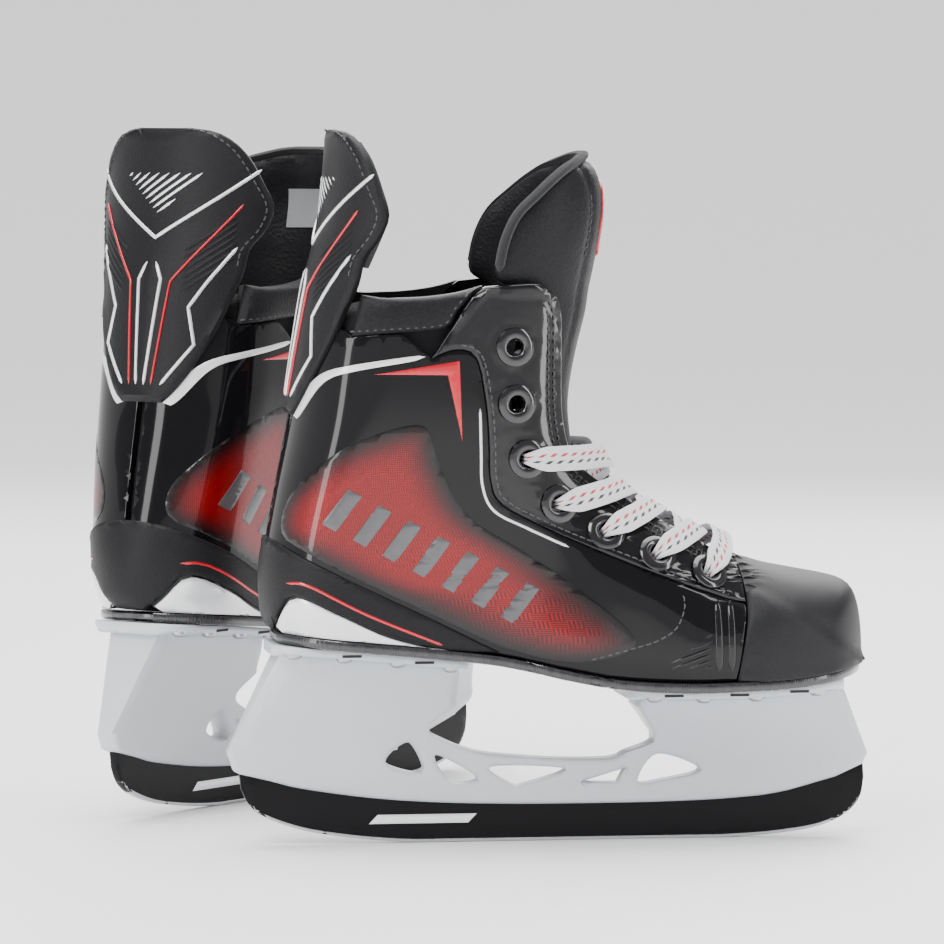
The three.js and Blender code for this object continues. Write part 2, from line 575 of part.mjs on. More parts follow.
// ---- Tongue top and tendon guard, which stand clear of the boot ----
// A curved band through levels of arcs. Each level is {z, x, reach, half, turn, facing}: the arc's
// foremost or rearmost point is at x, its half width is half, and it turns through turn radians.
function band(levels, thickness, segments = 6) {
  const rings = levels.map(({ z, x, reach, half, turn, facing, lean = 0 }) => {
    const arc = (inset) =>
      Array.from({ length: segments + 1 }, (_, i) => {
        const angle = turn * (-1 + (2 * i) / segments);
        const taper = inset * (1 - 0.55 * Math.abs(angle / turn) ** 3);
        const px = x + facing * ((reach - taper) * (1 - Math.cos(angle)) + taper);
        return new THREE.Vector3(px, (half - taper) * Math.sin(angle), z + lean * Math.abs(px - x));
      });
    return [...arc(0), ...arc(thickness).reverse()];
  });
  return outwards(loft(rings));
}

const TONGUE_HINGE = [along(120.5), up(191)];
const TONGUE_REACH = 40;
const TONGUE_SLANT = 0.06; // the bottom rises towards the wings, to let the tongue tip back a little
const TONGUE_LEVELS = [
  [192, 121, 34, 1.5], [199, 121.3, 34.5, 1.52], [207, 122.7, 34.5, 1.5], [214, 123.5, 34, 1.42],
  [220, 123.2, 33.5, 1.24], [225.5, 122, 33, 1.02], [230, 120.6, 32, 0.76], [232.6, 118.8, 30, 0.45],
];
function makeTongueTop() {
  const levels = TONGUE_LEVELS.map(([z, x, half, turn], i) => ({
    z: up(z), x: along(x), reach: TONGUE_REACH, half: wide(half),
    turn, facing: -1, lean: i ? 0 : TONGUE_SLANT,
  }));
  return band(levels, TONGUE_TOP_THICKNESS);
}

const GUARD_HINGE = [along(23), up(186.4)];
const GUARD_REACH = 30;
const GUARD_SLANT = 0.1; // lets the guard tip forward a little before it meets its base
const GUARD_LEVELS = [
  [186.8, 23, 35.2, 0.92], [193, 24.4, 36.2, 0.9], [200, 26.2, 37.4, 0.94], [207, 27.8, 38.6, 1.08],
  [213.5, 28.9, 39.4, 1.13], [222, 29.9, 39.8, 1.0], [232, 30.8, 39.8, 0.84],
  [240, 31.3, 39.6, 0.66], [242, 31.8, 38.8, 0.62],
];
const guardLevels = (rows, outset) =>
  rows.map(([z, x, half, turn], i) => ({
    z: up(z), x: along(x) + outset, reach: GUARD_REACH - outset, half: wide(half) - outset,
    turn, facing: 1, lean: i ? 0 : GUARD_SLANT,
  }));
const makeGuard = () => band(guardLevels(GUARD_LEVELS, 0), GUARD_THICKNESS);
function makeGuardPad() {
  const rows = GUARD_LEVELS.slice(1, -1).map(([z, x, half, turn]) => [z, x, half, turn * 0.88]);
  return band(guardLevels(rows, GUARD_THICKNESS + GAP), GUARD_PAD_THICKNESS);
}

// ---- Lace ----
// A flat ribbon along points, each with the direction its flat side faces.
function ribbon(stations) {
  const rings = stations.map(({ at, facing, width = LACE_WIDTH }, i) => {
    const ahead = stations[Math.min(i + 1, stations.length - 1)].at.clone();
    const run = ahead.sub(stations[Math.max(i - 1, 0)].at).normalize();
    const across = run.clone().cross(facing).normalize().multiplyScalar(width / 2);
    const thick = across.clone().cross(run).normalize().multiplyScalar(LACE_THICKNESS / 2);
    return [
      at.clone().add(across).add(thick), at.clone().sub(across).add(thick),
      at.clone().sub(across).sub(thick), at.clone().add(across).sub(thick),
    ];
  });
  return outwards(loft(rings));
}
const LACE_LIFT = 2.2 * CHORD_SAG; // keeps the lace's chord off the eyelets' rims
const LACE_OVER = FLANGE_OUT + LACE_LIFT + LACE_THICKNESS / 2;

const LACE_SAG = 0.3;
const LACE_CLIMB = 5; // the crossing's rise for each millimetre of thicker wall
const LACE_MID = LACE_UNDER - LACE_SAG + LACE_CLIMB * WALL_GROWTH; // the lower of two crossing laces
const LACE_END = 0.5; // the bunch in an eyelet runs this far past the lace's own flats
const LACE_SHARES = [0, 0.3, 0.6, 0.9]; // stations on the way from an eyelet to the ridge
const LACE_LAP = 1.6; // and how far above it the other one runs

// A point on the way from eyelet k to the ridge, on one side of the boot.
function lacePoint(k, ridge, share, side, offset) {
  const [x, z] = [mix(eyelets[k][0], ridge[0], share), mix(eyelets[k][1], ridge[1], share)];
  const facing = surfaceNormal(x, z, side);
  const seat = surfacePoint(x, z, side);
  return { at: seat.addScaledVector(facing, offset), facing };
}
const topPoint = (ridge, offset) => {
  const facing = new THREE.Vector3(0.45, 0, 0.9).normalize();
  const at = new THREE.Vector3(ridge[0], centreLine(ridge[0]), ridge[1]);
  return { at: at.addScaledVector(facing, offset), facing };
};
function crossing(from, to, side) {
  const ridge = [0, 1].map((c) => (EYELET_RIDGE[from][c] + EYELET_RIDGE[to][c]) / 2);
  const dip = (share) => LACE_UNDER - (share ? LACE_DIP : 0);
  const under = LACE_SHARES.slice(0, -1).map((share) => lacePoint(from, ridge, share, side, dip(share)));
  const over = LACE_SHARES.map((share) => lacePoint(to, ridge, share, -side, LACE_OVER)).reverse();
  under[0].width = 2 * LACE_BUNCH_RADIUS;
  over[over.length - 1].width = 2 * LACE_BUNCH_RADIUS;
  return ribbon([...under, topPoint(ridge, LACE_MID + (side > 0 ? LACE_LAP : 0)), ...over]);
}
const bunch = (at, side) =>
  throughWall(at, side, LACE_BUNCH_RADIUS, LACE_UNDER - LACE_END, LACE_OVER + LACE_END);
function makeLace() {
  const last = EYELET_COUNT - 1;
  const ridge = EYELET_RIDGE[last];
  const reach = (side) => LACE_SHARES.map((share) => lacePoint(last, ridge, share, side, LACE_OVER));
  let lace = ribbon([...reach(-1), topPoint(ridge, LACE_OVER), ...reach(1).reverse()]);
  Object.values(HALVES).forEach((side) => {
    for (let k = last; k > FIRST_LACED_EYELET; k--) lace = lace.add(crossing(k, k - 1, side));
    for (let k = last; k >= FIRST_LACED_EYELET; k--)
      lace = lace.add(bunch(eyelets[k], side));
  });
  return lace;
}

// ---- One skate ----
function finish(color, roughness, metalness = 0) {
  return new THREE.MeshStandardMaterial({ color, roughness, metalness });
}
const BLACK_STEEL = finish(0x17181a, 0.35, 0.8);
const WHITE_NYLON = finish(0xeef1f3, 0.35);
const BRIGHT_STEEL = finish(0xb9bcc0, 0.3, 1);
const CARBON = finish(0x121214, 0.3);
const GLOSS_SHELL = finish(0x0c0c0e, 0.12);
const MATTE_OVERLAY = finish(0x1d1e20, 0.5);
const SILVER = finish(0xd9dadb, 0.2, 0.6);
const PADDING = finish(0x1b1c1f, 0.8);
const LINING = finish(0x141416, 0.95);
const FELT = finish(0x232326, 1);
const EYELET_BLACK = finish(0x0a0a0b, 0.3, 0.5);
const WHITE_LACE = finish(0xf3f3f6, 0.85);

function outer(points, inner, top) {
  return layer(inner, top).intersect(prism(points)).intersect(onSole);
}
function outerHalf(points, inner, top, side) {
  return layer(inner, top).intersect(halfOf(points, side)).intersect(onSole);
}
const pieces = {
  blade: [blade, BLACK_STEEL],
  holder: [holder, WHITE_NYLON],
  rear_blade_bolt: [makeBolt(LUGS[0]), BRIGHT_STEEL],
  front_blade_bolt: [makeBolt(LUGS[1]), BRIGHT_STEEL],
  outsole: [makeOutsole(), CARBON],
  insole: [makeInsole(), FELT],
  heel_counter: [outer(COUNTER_OUTLINE, OVERLAY_IN, 0), MATTE_OVERLAY],
  toe_cap: [
    outer(TOE_OUTLINE, -TOE_CAP_THICKNESS, 0),
    MATTE_OVERLAY,
  ],
  liner: [outer(LINER_OUTLINE, LINER_IN, LINER_OUT), LINING],
  tongue: [outer(TONGUE_FOOT_OUTLINE, TONGUE_OUT - TONGUE_THICKNESS, TONGUE_OUT), PADDING],
  tongue_top: [makeTongueTop(), PADDING],
  tendon_guard_base: [outer(GUARD_BASE_OUTLINE, OVERLAY_IN, OVERLAY_THICKNESS), MATTE_OVERLAY],
  tendon_guard: [makeGuard(), MATTE_OVERLAY],
  tendon_pad: [makeGuardPad(), FELT],
  lace: [makeLace(), WHITE_LACE],
};
Object.entries(HALVES).forEach(([half, side]) => {
  const quarter = outerHalf(QUARTER_OUTLINE, SHELL_IN, SHELL_OUT, side);
  const eyestay = outerHalf(EYESTAY_OUTLINE, SHELL_IN, 0, side);
  pieces[`${half}_quarter`] = [pierced(quarter, side, QUARTER_RELIEF), GLOSS_SHELL];
  pieces[`${half}_eyestay`] = [pierced(eyestay, side, GAP), MATTE_OVERLAY];
  pieces[`${half}_collar_pad`] = [outerHalf(COLLAR_OUTLINE, SHELL_IN, 0, side), PADDING];
  pieces[`${half}_heel_support`] = [outerHalf(SUPPORT_OUTLINE, OVERLAY_IN, 0, side), SILVER];
  pieces[`${half}_eyelet_row`] = [makeEyeletRow(side), EYELET_BLACK];
});

function makeSkate(prefix) {
  const skate = new THREE.Group();
  Object.entries(pieces).forEach(([name, [made, material]]) => {
    const mesh = new THREE.Mesh(geometryOf(made), material);
    mesh.name = `${prefix}_${name}`;
    skate.add(mesh);
  });
  return skate;
}

// ---- The pair ----
const pair = new THREE.Group();
const right = makeSkate("right");
const left = makeSkate("left");
left.scale.y = -1;
left.rotation.z = PAIR_YAW;
left.position.set(PAIR_HEEL.x, PAIR_HEEL.y, 0);
pair.add(right, left);
pair.updateMatrixWorld(true);
// Measured on the points themselves, because the left skate stands at an angle.
const bounds = new THREE.Box3().setFromObject(pair, true);
const middle = bounds.getCenter(new THREE.Vector3());
pair.position.set(-middle.x, -middle.y, -bounds.min.z);

export default pair;
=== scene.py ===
"""The looks of a pair of ice hockey skates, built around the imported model.

Each skate is drawn once, in millimetres, in the right skate's own frame: X from the heel end of the
blade to the toe, Y = 0 in the blade's plane with the outer side at -Y, and Z = 0 on the ice.
make() places it as the right skate and, mirrored, as the left one.
"""
import json
import math

import bpy
import numpy as np
from mathutils import Matrix, Vector
from mathutils.geometry import delaunay_2d_cdt


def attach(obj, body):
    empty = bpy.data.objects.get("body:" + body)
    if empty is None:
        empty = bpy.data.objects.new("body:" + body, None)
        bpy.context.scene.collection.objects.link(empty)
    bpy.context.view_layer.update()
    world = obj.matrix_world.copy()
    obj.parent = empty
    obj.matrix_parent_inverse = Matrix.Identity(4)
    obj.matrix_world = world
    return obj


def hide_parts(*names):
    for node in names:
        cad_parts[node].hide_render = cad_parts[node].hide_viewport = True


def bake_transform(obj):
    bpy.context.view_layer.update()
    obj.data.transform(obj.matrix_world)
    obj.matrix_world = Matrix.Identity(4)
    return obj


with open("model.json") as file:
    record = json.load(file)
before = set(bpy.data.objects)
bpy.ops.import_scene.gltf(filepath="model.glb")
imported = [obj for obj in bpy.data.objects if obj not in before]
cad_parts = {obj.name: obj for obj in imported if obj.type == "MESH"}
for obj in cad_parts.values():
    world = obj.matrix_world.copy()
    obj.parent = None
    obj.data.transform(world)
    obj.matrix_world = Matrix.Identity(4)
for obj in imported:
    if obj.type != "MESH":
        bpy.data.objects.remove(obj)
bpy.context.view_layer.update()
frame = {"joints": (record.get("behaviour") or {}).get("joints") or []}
MM = 0.001

# ---- Where each skate stands ----
TONGUE_HINGE = Vector((0.1205, 0, 0.191))  # in a skate's own frame, in metres
SIDES = ("right", "left")


def skate_frame(side):
    """The matrix from a skate's own frame, in millimetres, to the row's, in metres."""
    hinge = next(j for j in frame["joints"] if j["name"] == f"{side}_tongue_flex")
    axis = Vector(hinge["axis"])
    turn = Matrix.Rotation(math.atan2(-axis.x, axis.y), 4, "Z")
    flip = Matrix.Diagonal((1, 1 if side == "right" else -1, 1, 1))
    origin = Vector(hinge["pos_m"]) - turn @ TONGUE_HINGE
    return Matrix.Translation(origin) @ turn @ flip @ Matrix.Scale(MM, 4)


FRAMES = {side: skate_frame(side) for side in SIDES}


# ---- Maths ----
def clamp(t):
    return np.clip(t, 0.0, 1.0)


def smooth(t):
    t = clamp(t)
    return t * t * (3 - 2 * t)


def mix(a, b, t):
    return a + (b - a) * t


def rounding(u):
    """A quarter of an ellipse, from 0 at 0 to 1 at 1."""
    return np.sqrt(np.maximum(0, 1 - (1 - clamp(u)) ** 2))


def curve(points, step=1.0, closed=False):
    """A smooth curve through points of any dimension, sampled every step."""
    p = np.array(points, float)
    if closed:
        p = np.vstack([p[-1], p, p[0], p[1]])
    else:
        p = np.vstack([2 * p[0] - p[1], p, 2 * p[-1] - p[-2]])
    out = []
    for a, b, c, d in zip(p, p[1:], p[2:], p[3:]):
        count = max(2, int(np.linalg.norm(c - b) / step))
        t = (np.arange(count) / count)[:, None]
        out.append(
            0.5 * (2 * b + (c - a) * t + (2 * a - 5 * b + 4 * c - d) * t**2 + (3 * b - a - 3 * c + d) * t**3)
        )
    if not closed:
        out.append(p[-2][None])
    return np.vstack(out)


def straight(points, step=1.5, closed=True):
    """The same corners, joined by straight lines sampled every step."""
    p = np.array(points, float)
    ends = np.vstack([p[1:], p[:1]]) if closed else p[1:]
    out = []
    for a, b in zip(p, ends):
        count = max(1, int(round(np.linalg.norm(b - a) / step)))
        out.append(a + (b - a) * (np.arange(count) / count)[:, None])
    if not closed:
        out.append(p[-1:])
    return np.vstack(out)


def spline_table(points):
    """A smooth function through (x, y) points."""
    dense = curve(sorted(points), 0.8)
    return lambda x: np.interp(x, dense[:, 0], dense[:, 1])


def border_distance(points, outline):
    a, b = outline, np.roll(outline, -1, 0)
    best = np.full(len(points), 1e9)
    for i in range(0, len(a), 40):
        p, q = a[None, i : i + 40], (b - a)[None, i : i + 40]
        t = clamp(((points[:, None] - p) * q).sum(2) / np.maximum(1e-9, (q * q).sum(2)))
        best = np.minimum(best, np.linalg.norm(points[:, None] - p - t[..., None] * q, axis=2).min(1))
    return best


def inside(points, outline):
    x, y = points[:, 0][:, None], points[:, 1][:, None]
    a, b = outline, np.roll(outline, -1, 0)
    crosses = (a[:, 1] > y) != (b[:, 1] > y)
    rise = np.where(np.abs(b[:, 1] - a[:, 1]) < 1e-12, 1e-12, b[:, 1] - a[:, 1])
    return (crosses & (x < a[:, 0] + (y - a[:, 1]) * (b[:, 0] - a[:, 0]) / rise)).sum(1) % 2 == 1


# ---- The boot's surface ----
BACK_LINE = [
    (11.5, 46), (10.9, 70.8), (8.2, 79), (7.5, 92), (9, 104), (12, 121), (16.5, 144),
    (19.6, 166), (22.9, 186), (27.8, 206.7), (30.2, 225.6), (31.2, 241), (31.4, 246),
]
FRONT_LINE = [
    (213.6, 46), (213.6, 66), (212.6, 77), (210.5, 84), (207.2, 87.4), (201, 89.4), (190, 91.5),
    (178, 94), (170, 97.5), (161, 103.5), (152, 109.5), (143, 114), (134, 119), (127, 125.5),
    (123.5, 133), (122, 143), (121.5, 152), (122.3, 168), (124.5, 186), (126, 206),
]
SOLE_TOP = [
    (-8, 74), (8, 73.2), (41, 70.3), (78, 66.5), (92, 64.2), (108, 60.6), (126, 57.5),
    (148, 56.2), (166, 56.3), (185, 57), (205, 59.3), (222, 61.5),
]
SOLE_HALF = [(5, 21), (14, 26), (30, 28.5), (60, 28), (90, 29), (120, 34.5), (146, 37.5), (166, 37),
             (184, 34.5), (198, 30), (208, 24), (215, 17)]
ANKLE_HALF = [(50, 27.5), (80, 29), (105, 30.5), (130, 33), (150, 34.3), (190, 34.6), (215, 36)]
front_points = curve(FRONT_LINE, 1.2)
back_of = spline_table([(z, x) for x, z in BACK_LINE])
front_of = spline_table([(z, x) for x, z in FRONT_LINE])
sole_top = spline_table(SOLE_TOP)
sole_half = spline_table(SOLE_HALF)
ankle_half = spline_table(ANKLE_HALF)
SOLE = 3.5  # outsole thickness
GAP = 0.3  # between the holder and the outsole
S_SCALE = 48.0  # millimetres of flat pattern for each radian round a level

# Heights are spaced by the length of the front line, so that the flat toe gets its share of levels.
_heights = np.linspace(46, 206, 400)
_steps = np.hypot(np.diff(_heights), np.diff(front_of(_heights)) * 0.8)
_lengths = np.concatenate([[0], np.cumsum(_steps)])


def to_w(z):
    return np.interp(z, _heights, _lengths)


def to_z(w):
    return np.interp(w, _lengths, _heights)


def half_width(x, z):
    shaft = smooth((z - 62) / 50) * (1 - smooth((x - 95) / 35))
    width = mix(sole_half(x), ankle_half(z), shaft)
    front_round = mix(mix(34, 17, smooth((x - 150) / 38)), 40, smooth((z - 118) / 27))
    tuck = 1 - 0.07 * (1 - clamp((z - sole_top(x)) / 12)) ** 2
    rear = rounding((x - back_of(z)) / 28)
    near = np.full(len(x), 1e9)
    a, b = front_points[:-1], front_points[1:] - front_points[:-1]
    p = np.stack([x, z], 1)
    for i in range(0, len(a), 30):
        o, d = a[None, i : i + 30], b[None, i : i + 30]
        t = clamp(((p[:, None] - o) * d).sum(2) / np.maximum(1e-9, (d * d).sum(2)))
        near = np.minimum(near, np.linalg.norm(p[:, None] - o - t[..., None] * d, axis=2).min(1))
    near = np.where(x < front_of(z), near, 0)
    return width * tuck * rear * rounding(near / front_round)


def boot_point(s, w):
    """A point of the surface: s runs round a level, 0 at the heel, and w up it."""
    phi, z = s / S_SCALE, to_z(w)
    start, end = back_of(z), front_of(z)
    x = mix(start, end, (1 - np.cos(phi)) / 2)
    lean = 3 * smooth((x - 105) / 100)
    return np.stack([x, lean + np.sign(np.sin(phi)) * half_width(x, z), z], 1)


def with_normals(point, s, w, step=1.2, flip=-1):
    ds = point(s + step, w) - point(s - step, w)
    dw = point(s, w + step) - point(s, w - step)
    n = flip * np.cross(ds, dw)
    return point(s, w), n / np.maximum(1e-9, np.linalg.norm(n, axis=1))[:, None]


def boot(s, w):
    return with_normals(boot_point, s, w)


def flat(points, side=-1):
    """Side-view (x, z) points on the flat pattern, on the outer (-1) or inner (1) side."""
    p = np.array(points, float)
    start, end = back_of(p[:, 1]), front_of(p[:, 1])
    share = clamp((p[:, 0] - start) / (end - start))
    return np.stack([side * np.arccos(1 - 2 * share) * S_SCALE, to_w(p[:, 1])], 1)


# The tendon guard: rear-view coordinates, bent round the back of the leg.
GUARD_BACK = [(140, 15.7), (166, 19.6), (186, 22.9), (193, 24.4), (200, 26.2), (207, 27.8), (213.5, 28.9),
              (222, 29.9), (232, 30.8), (246, 31.8)]
GUARD_HALF = [(140, 33.6), (166, 34.4), (186, 35), (193, 36.2), (200, 37.4), (207, 38.6), (213.5, 39.4),
              (222, 39.8), (232, 39.8), (246, 38.6)]
guard_back = spline_table(GUARD_BACK)
guard_half = spline_table(GUARD_HALF)
GUARD_SCALE = 38.0


def guard_point(s, z):
    a = s / GUARD_SCALE
    return np.stack([guard_back(z) + 29 * (1 - np.cos(a)), guard_half(z) * np.sin(a), z], 1)


def guard(s, z):
    return with_normals(guard_point, s, z)


def rear(points):
    """Rear-view (y, z) points on the guard's flat pattern."""
    p = np.array(points, float)
    return np.stack([np.arcsin(np.clip(p[:, 0] / guard_half(p[:, 1]), -1, 1)) * GUARD_SCALE, p[:, 1]], 1)


# ---- Mesh making ----
def make(name, verts, faces, material, slot, body="skate", replaces=(), blend=None, attributes=None,
         sharp=38, padded=None):
    """Both skates' copy of a piece drawn in millimetres in the right skate's frame."""
    made = []
    for side in SIDES:
        matrix = np.array(FRAMES[side])
        placed = np.asarray(verts, float) @ matrix[:3, :3].T + matrix[:3, 3]
        turned = faces if side == "right" else [tuple(reversed(f)) for f in faces]
        mesh = bpy.data.meshes.new(f"{side}_{name}_shape")
        mesh.from_pydata(placed.tolist(), [], turned)
        mesh.polygons.foreach_set("use_smooth", [True] * len(mesh.polygons))
        mesh.set_sharp_from_angle(angle=math.radians(sharp))
        for key, values in (attributes or {}).items():
            values = np.asarray(values, np.float32)
            kind = "FLOAT" if values.ndim == 1 else "FLOAT_VECTOR"
            attribute = mesh.attributes.new(key, kind, "POINT")
            attribute.data.foreach_set("value" if values.ndim == 1 else "vector", values.ravel())
        mesh.update()
        mesh.materials.append(material)
        obj = bpy.data.objects.new(f"{side}_{name}", mesh)
        bpy.context.scene.collection.objects.link(obj)
        if replaces:
            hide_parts(*[f"{side}_{node}" for node in replaces])
        if blend:
            ends = [FRAMES[side] @ Vector(p) for p in blend[1:]]
            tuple(ends[0])
            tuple(ends[1])
            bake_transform(obj)
        else:
            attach(obj, f"{side}_{body}")
        made.append(obj)
    return made


def shell(outline, top, bottom, holes=(), spacing=3.0, rim=0.8):
    """A closed skin over a flat outline. top(s, w, d) and bottom(s, w, d) give its two faces, d being the
    distance from the border; the faces come together along a wall there."""
    outline = np.asarray(outline, float)
    low, high = outline.min(0), outline.max(0)
    xs, ys = np.arange(low[0], high[0], spacing), np.arange(low[1], high[1], spacing)
    grid = np.array([(x + (j % 2) * spacing / 2, y) for j, y in enumerate(ys) for x in xs])
    borders = [outline, *[np.asarray(h, float) for h in holes]]
    inset = []
    for k, border in enumerate(borders):
        along = np.roll(border, -1, 0) - np.roll(border, 1, 0)
        normal = np.stack([-along[:, 1], along[:, 0]], 1) / np.maximum(1e-9,
            np.linalg.norm(along, axis=1))[:, None]
        for share in (0.35, 1.0):
            for sign in (-1, 1):
                inset.append(border + sign * normal * rim * share)
    candidates = np.vstack([grid, *inset])
    fits = inside(candidates, outline)
    near = border_distance(candidates, outline)
    for hole in borders[1:]:
        fits &= ~inside(candidates, hole)
        near = np.minimum(near, border_distance(candidates, hole))
    is_grid = np.arange(len(candidates)) < len(grid)
    fits &= np.where(is_grid, near > rim * 1.5, near > rim * 0.3)
    points = np.vstack([*borders, candidates[fits]])
    edges, at = [], 0
    for border in borders:
        edges += [(at + i, at + (i + 1) % len(border)) for i in range(len(border))]
        at += len(border)
    verts, _, tris, *_ = delaunay_2d_cdt([Vector(p) for p in points], edges, [], 0, 1e-4)
    flat_points = np.array([(v.x, v.y) for v in verts])
    tris = np.array([tuple(t) for t in tris if len(t) == 3])
    middles = flat_points[tris].mean(1)
    kept = inside(middles, outline)
    for hole in borders[1:]:
        kept &= ~inside(middles, hole)
    tris = tris[kept]
    used = np.unique(tris)
    renumber = np.full(len(flat_points), -1)
    renumber[used] = np.arange(len(used))
    flat_points, tris = flat_points[used], renumber[tris]
    a, b, c = (flat_points[tris[:, i]] for i in range(3))
    backwards = (b - a)[:, 0] * (c - a)[:, 1] - (b - a)[:, 1] * (c - a)[:, 0] < 0
    tris[backwards] = tris[backwards][:, ::-1]
    d = np.min([border_distance(flat_points, border) for border in borders], axis=0)
    s, w = flat_points[:, 0], flat_points[:, 1]
    count = len(flat_points)
    upper, lower = top(s, w, d), bottom(s, w, d)
    faces = [tuple(int(i) for i in t[::-1]) for t in tris]
    faces += [tuple(int(i) + count for i in t) for t in tris]
    seen = {}
    for t in tris:
        for i, j in ((t[0], t[1]), (t[1], t[2]), (t[2], t[0])):
            seen[(int(i), int(j))] = True
    for i, j in seen:
        if (j, i) not in seen:
            faces.append((i, j, j + count, i + count))
    pattern = np.stack([s, w, np.zeros(count)], 1) * MM
    return np.vstack([upper, lower]), faces, {"flat": np.vstack([pattern, pattern]),
                                              "edge": np.tile(d * MM, 2)}


def fillet(d, radius):
    return radius * (1 - rounding(d / radius)) if radius > 0 else 0 * d


def patch(name, outline, material, slot, surface=boot, lift=0.0, thick=1.8, rim=0.7, spacing=3.0, holes=(),
          relief=None, **more):
    """A panel lying on a surface: its face stands lift above it, and it is thick deep."""

    def top(s, w, d):
        p, n = surface(s, w)
        height = lift - fillet(d, rim) + (relief(s, w, d) if relief else 0)
        return p + n * np.asarray(height)[:, None]

    def bottom(s, w, d):
        p, n = surface(s, w)
        return p + n * (lift - thick)

    verts, faces, attributes = shell(outline, top, bottom, holes, spacing, rim)
    return make(name, verts, faces, material, slot, attributes=attributes, **more)


def both(name, outline_of, material, slot, holes_of=None, replaces=(), **more):
    """The same patch on the outer and the inner side. outline_of(side) gives its flat outline."""
    for half, side in (("lateral", -1), ("medial", 1)):
        nodes = [r.replace("HALF", half) for r in replaces]
        holes = holes_of(side) if holes_of else ()
        patch(f"{half}_{name}", outline_of(side), material, slot, holes=holes, replaces=nodes, **more)


def sweep(paths, profile, taper=0.0):
    """Closed bars: each path is (points, normals), and the profile's (across, up) points go round it."""
    verts, faces, along_all, at = [], [], [], 0
    profile = np.array(profile, float)
    k = len(profile)
    for points, normals in paths:
        if len(points) < 2:
            continue
        ahead = np.gradient(points, axis=0)
        ahead /= np.maximum(1e-9, np.linalg.norm(ahead, axis=1))[:, None]
        across = np.cross(ahead, normals)
        across /= np.maximum(1e-9, np.linalg.norm(across, axis=1))[:, None]
        up = np.cross(across, ahead)
        length = np.concatenate([[0], np.cumsum(np.linalg.norm(np.diff(points, axis=0), axis=1))])
        size = np.ones(len(points))
        if taper > 0:
            size = np.maximum(0.15, rounding(np.minimum(length, length[-1] - length) / taper))
        for i in range(len(points)):
            verts.append(points[i] + size[i] * (profile[:, :1] * across[i] + profile[:, 1:] * up[i]))
            along_all += [(p[0] * MM, length[i] * MM, 0) for p in profile]
        for i in range(len(points) - 1):
            for j in range(k):
                a, b = at + i * k + j, at + i * k + (j + 1) % k
                faces.append((a, b, b + k, a + k))
        last = at + (len(points) - 1) * k
        faces.append(tuple(range(at + k - 1, at - 1, -1)))
        faces.append(tuple(range(last, last + k)))
        at += len(points) * k
    return np.vstack(verts), faces, {"flat": np.array(along_all)}


def bead_profile(width, height, count=6):
    """A low rounded bar, its foot a little below the surface that it lies on."""
    angles = np.linspace(0, math.pi, count)
    return [(-width / 2 * math.cos(a), height * math.sin(a) - 0.05) for a in angles] + [(width / 2, -0.4),
        (-width / 2, -0.4)]


def on_surface(points, surface=boot, lift=0.0):
    p, n = surface(points[:, 0], points[:, 1])
    return p + n * lift, n


def bead(name, lines, material, slot, width=1.0, height=0.5, surface=boot, lift=0.0, taper=2.0, **more):
    """Raised lines along flat-pattern paths."""
    paths = [on_surface(line, surface, lift) for line in lines]
    verts, faces, attributes = sweep(paths, bead_profile(width, height), taper)
    return make(name, verts, faces, material, slot, attributes=attributes, **more)


STITCH_PITCH = 2.7
STITCH_LENGTH = 1.8
THREAD_RADIUS = 0.27


def stitches(name, lines, material, surface=boot, lift=0.0, **more):
    """A row of separate stitches, each dipping into the surface at both ends."""
    paths = []
    for line in lines:
        points, normals = on_surface(line, surface, lift)
        length = np.concatenate([[0], np.cumsum(np.linalg.norm(np.diff(points, axis=0), axis=1))])
        for start in np.arange(STITCH_PITCH / 2, length[-1] - STITCH_LENGTH, STITCH_PITCH):
            at = start + np.array([0, 0.2, 0.5, 0.8, 1]) * STITCH_LENGTH
            p = np.stack([np.interp(at, length, points[:, i]) for i in range(3)], 1)
            n = np.stack([np.interp(at, length, normals[:, i]) for i in range(3)], 1)
            dip = np.array([-0.35, 0.05, 0.15, 0.05, -0.35])[:, None]
            paths.append((p + n * dip, n))
    angles = np.arange(6) * math.pi / 3
    profile = [(THREAD_RADIUS * math.cos(-a), THREAD_RADIUS * math.sin(-a)) for a in angles]
    verts, faces, attributes = sweep(paths, profile)
    return make(name, verts, faces, material, "tongue_black", attributes=attributes, **more)


def hatch(outline, angle, pitch, margin=0.3):
    """Parallel lines across a flat outline, each sampled for bending round a surface."""
    outline = np.asarray(outline, float)
    turn = np.array([[math.cos(angle), math.sin(angle)], [-math.sin(angle), math.cos(angle)]])
    turned = outline @ turn.T
    lines = []
    for level in np.arange(turned[:, 1].min() + pitch / 2, turned[:, 1].max(), pitch):
        a, b = turned, np.roll(turned, -1, 0)
        cut = (a[:, 1] > level) != (b[:, 1] > level)
        xs = np.sort(a[cut, 0] + (level - a[cut, 1]) / (b[cut, 1] - a[cut, 1]) * (b[cut, 0] - a[cut, 0]))
        for x0, x1 in zip(xs[::2], xs[1::2]):
            if x1 - x0 > 4 * margin:
                count = max(3, int((x1 - x0) / 2))
                x = np.linspace(x0 + margin, x1 - margin, count)
                lines.append(np.stack([x, np.full(count, level)], 1) @ turn)
    return lines


def inset(line, distance):
    """A flat path moved sideways, to the left of its direction."""
    along = np.gradient(line, axis=0)
    normal = np.stack([-along[:, 1], along[:, 0]], 1) / np.maximum(1e-9, np.linalg.norm(along, axis=1))[:,
        None]
    return line + normal * distance


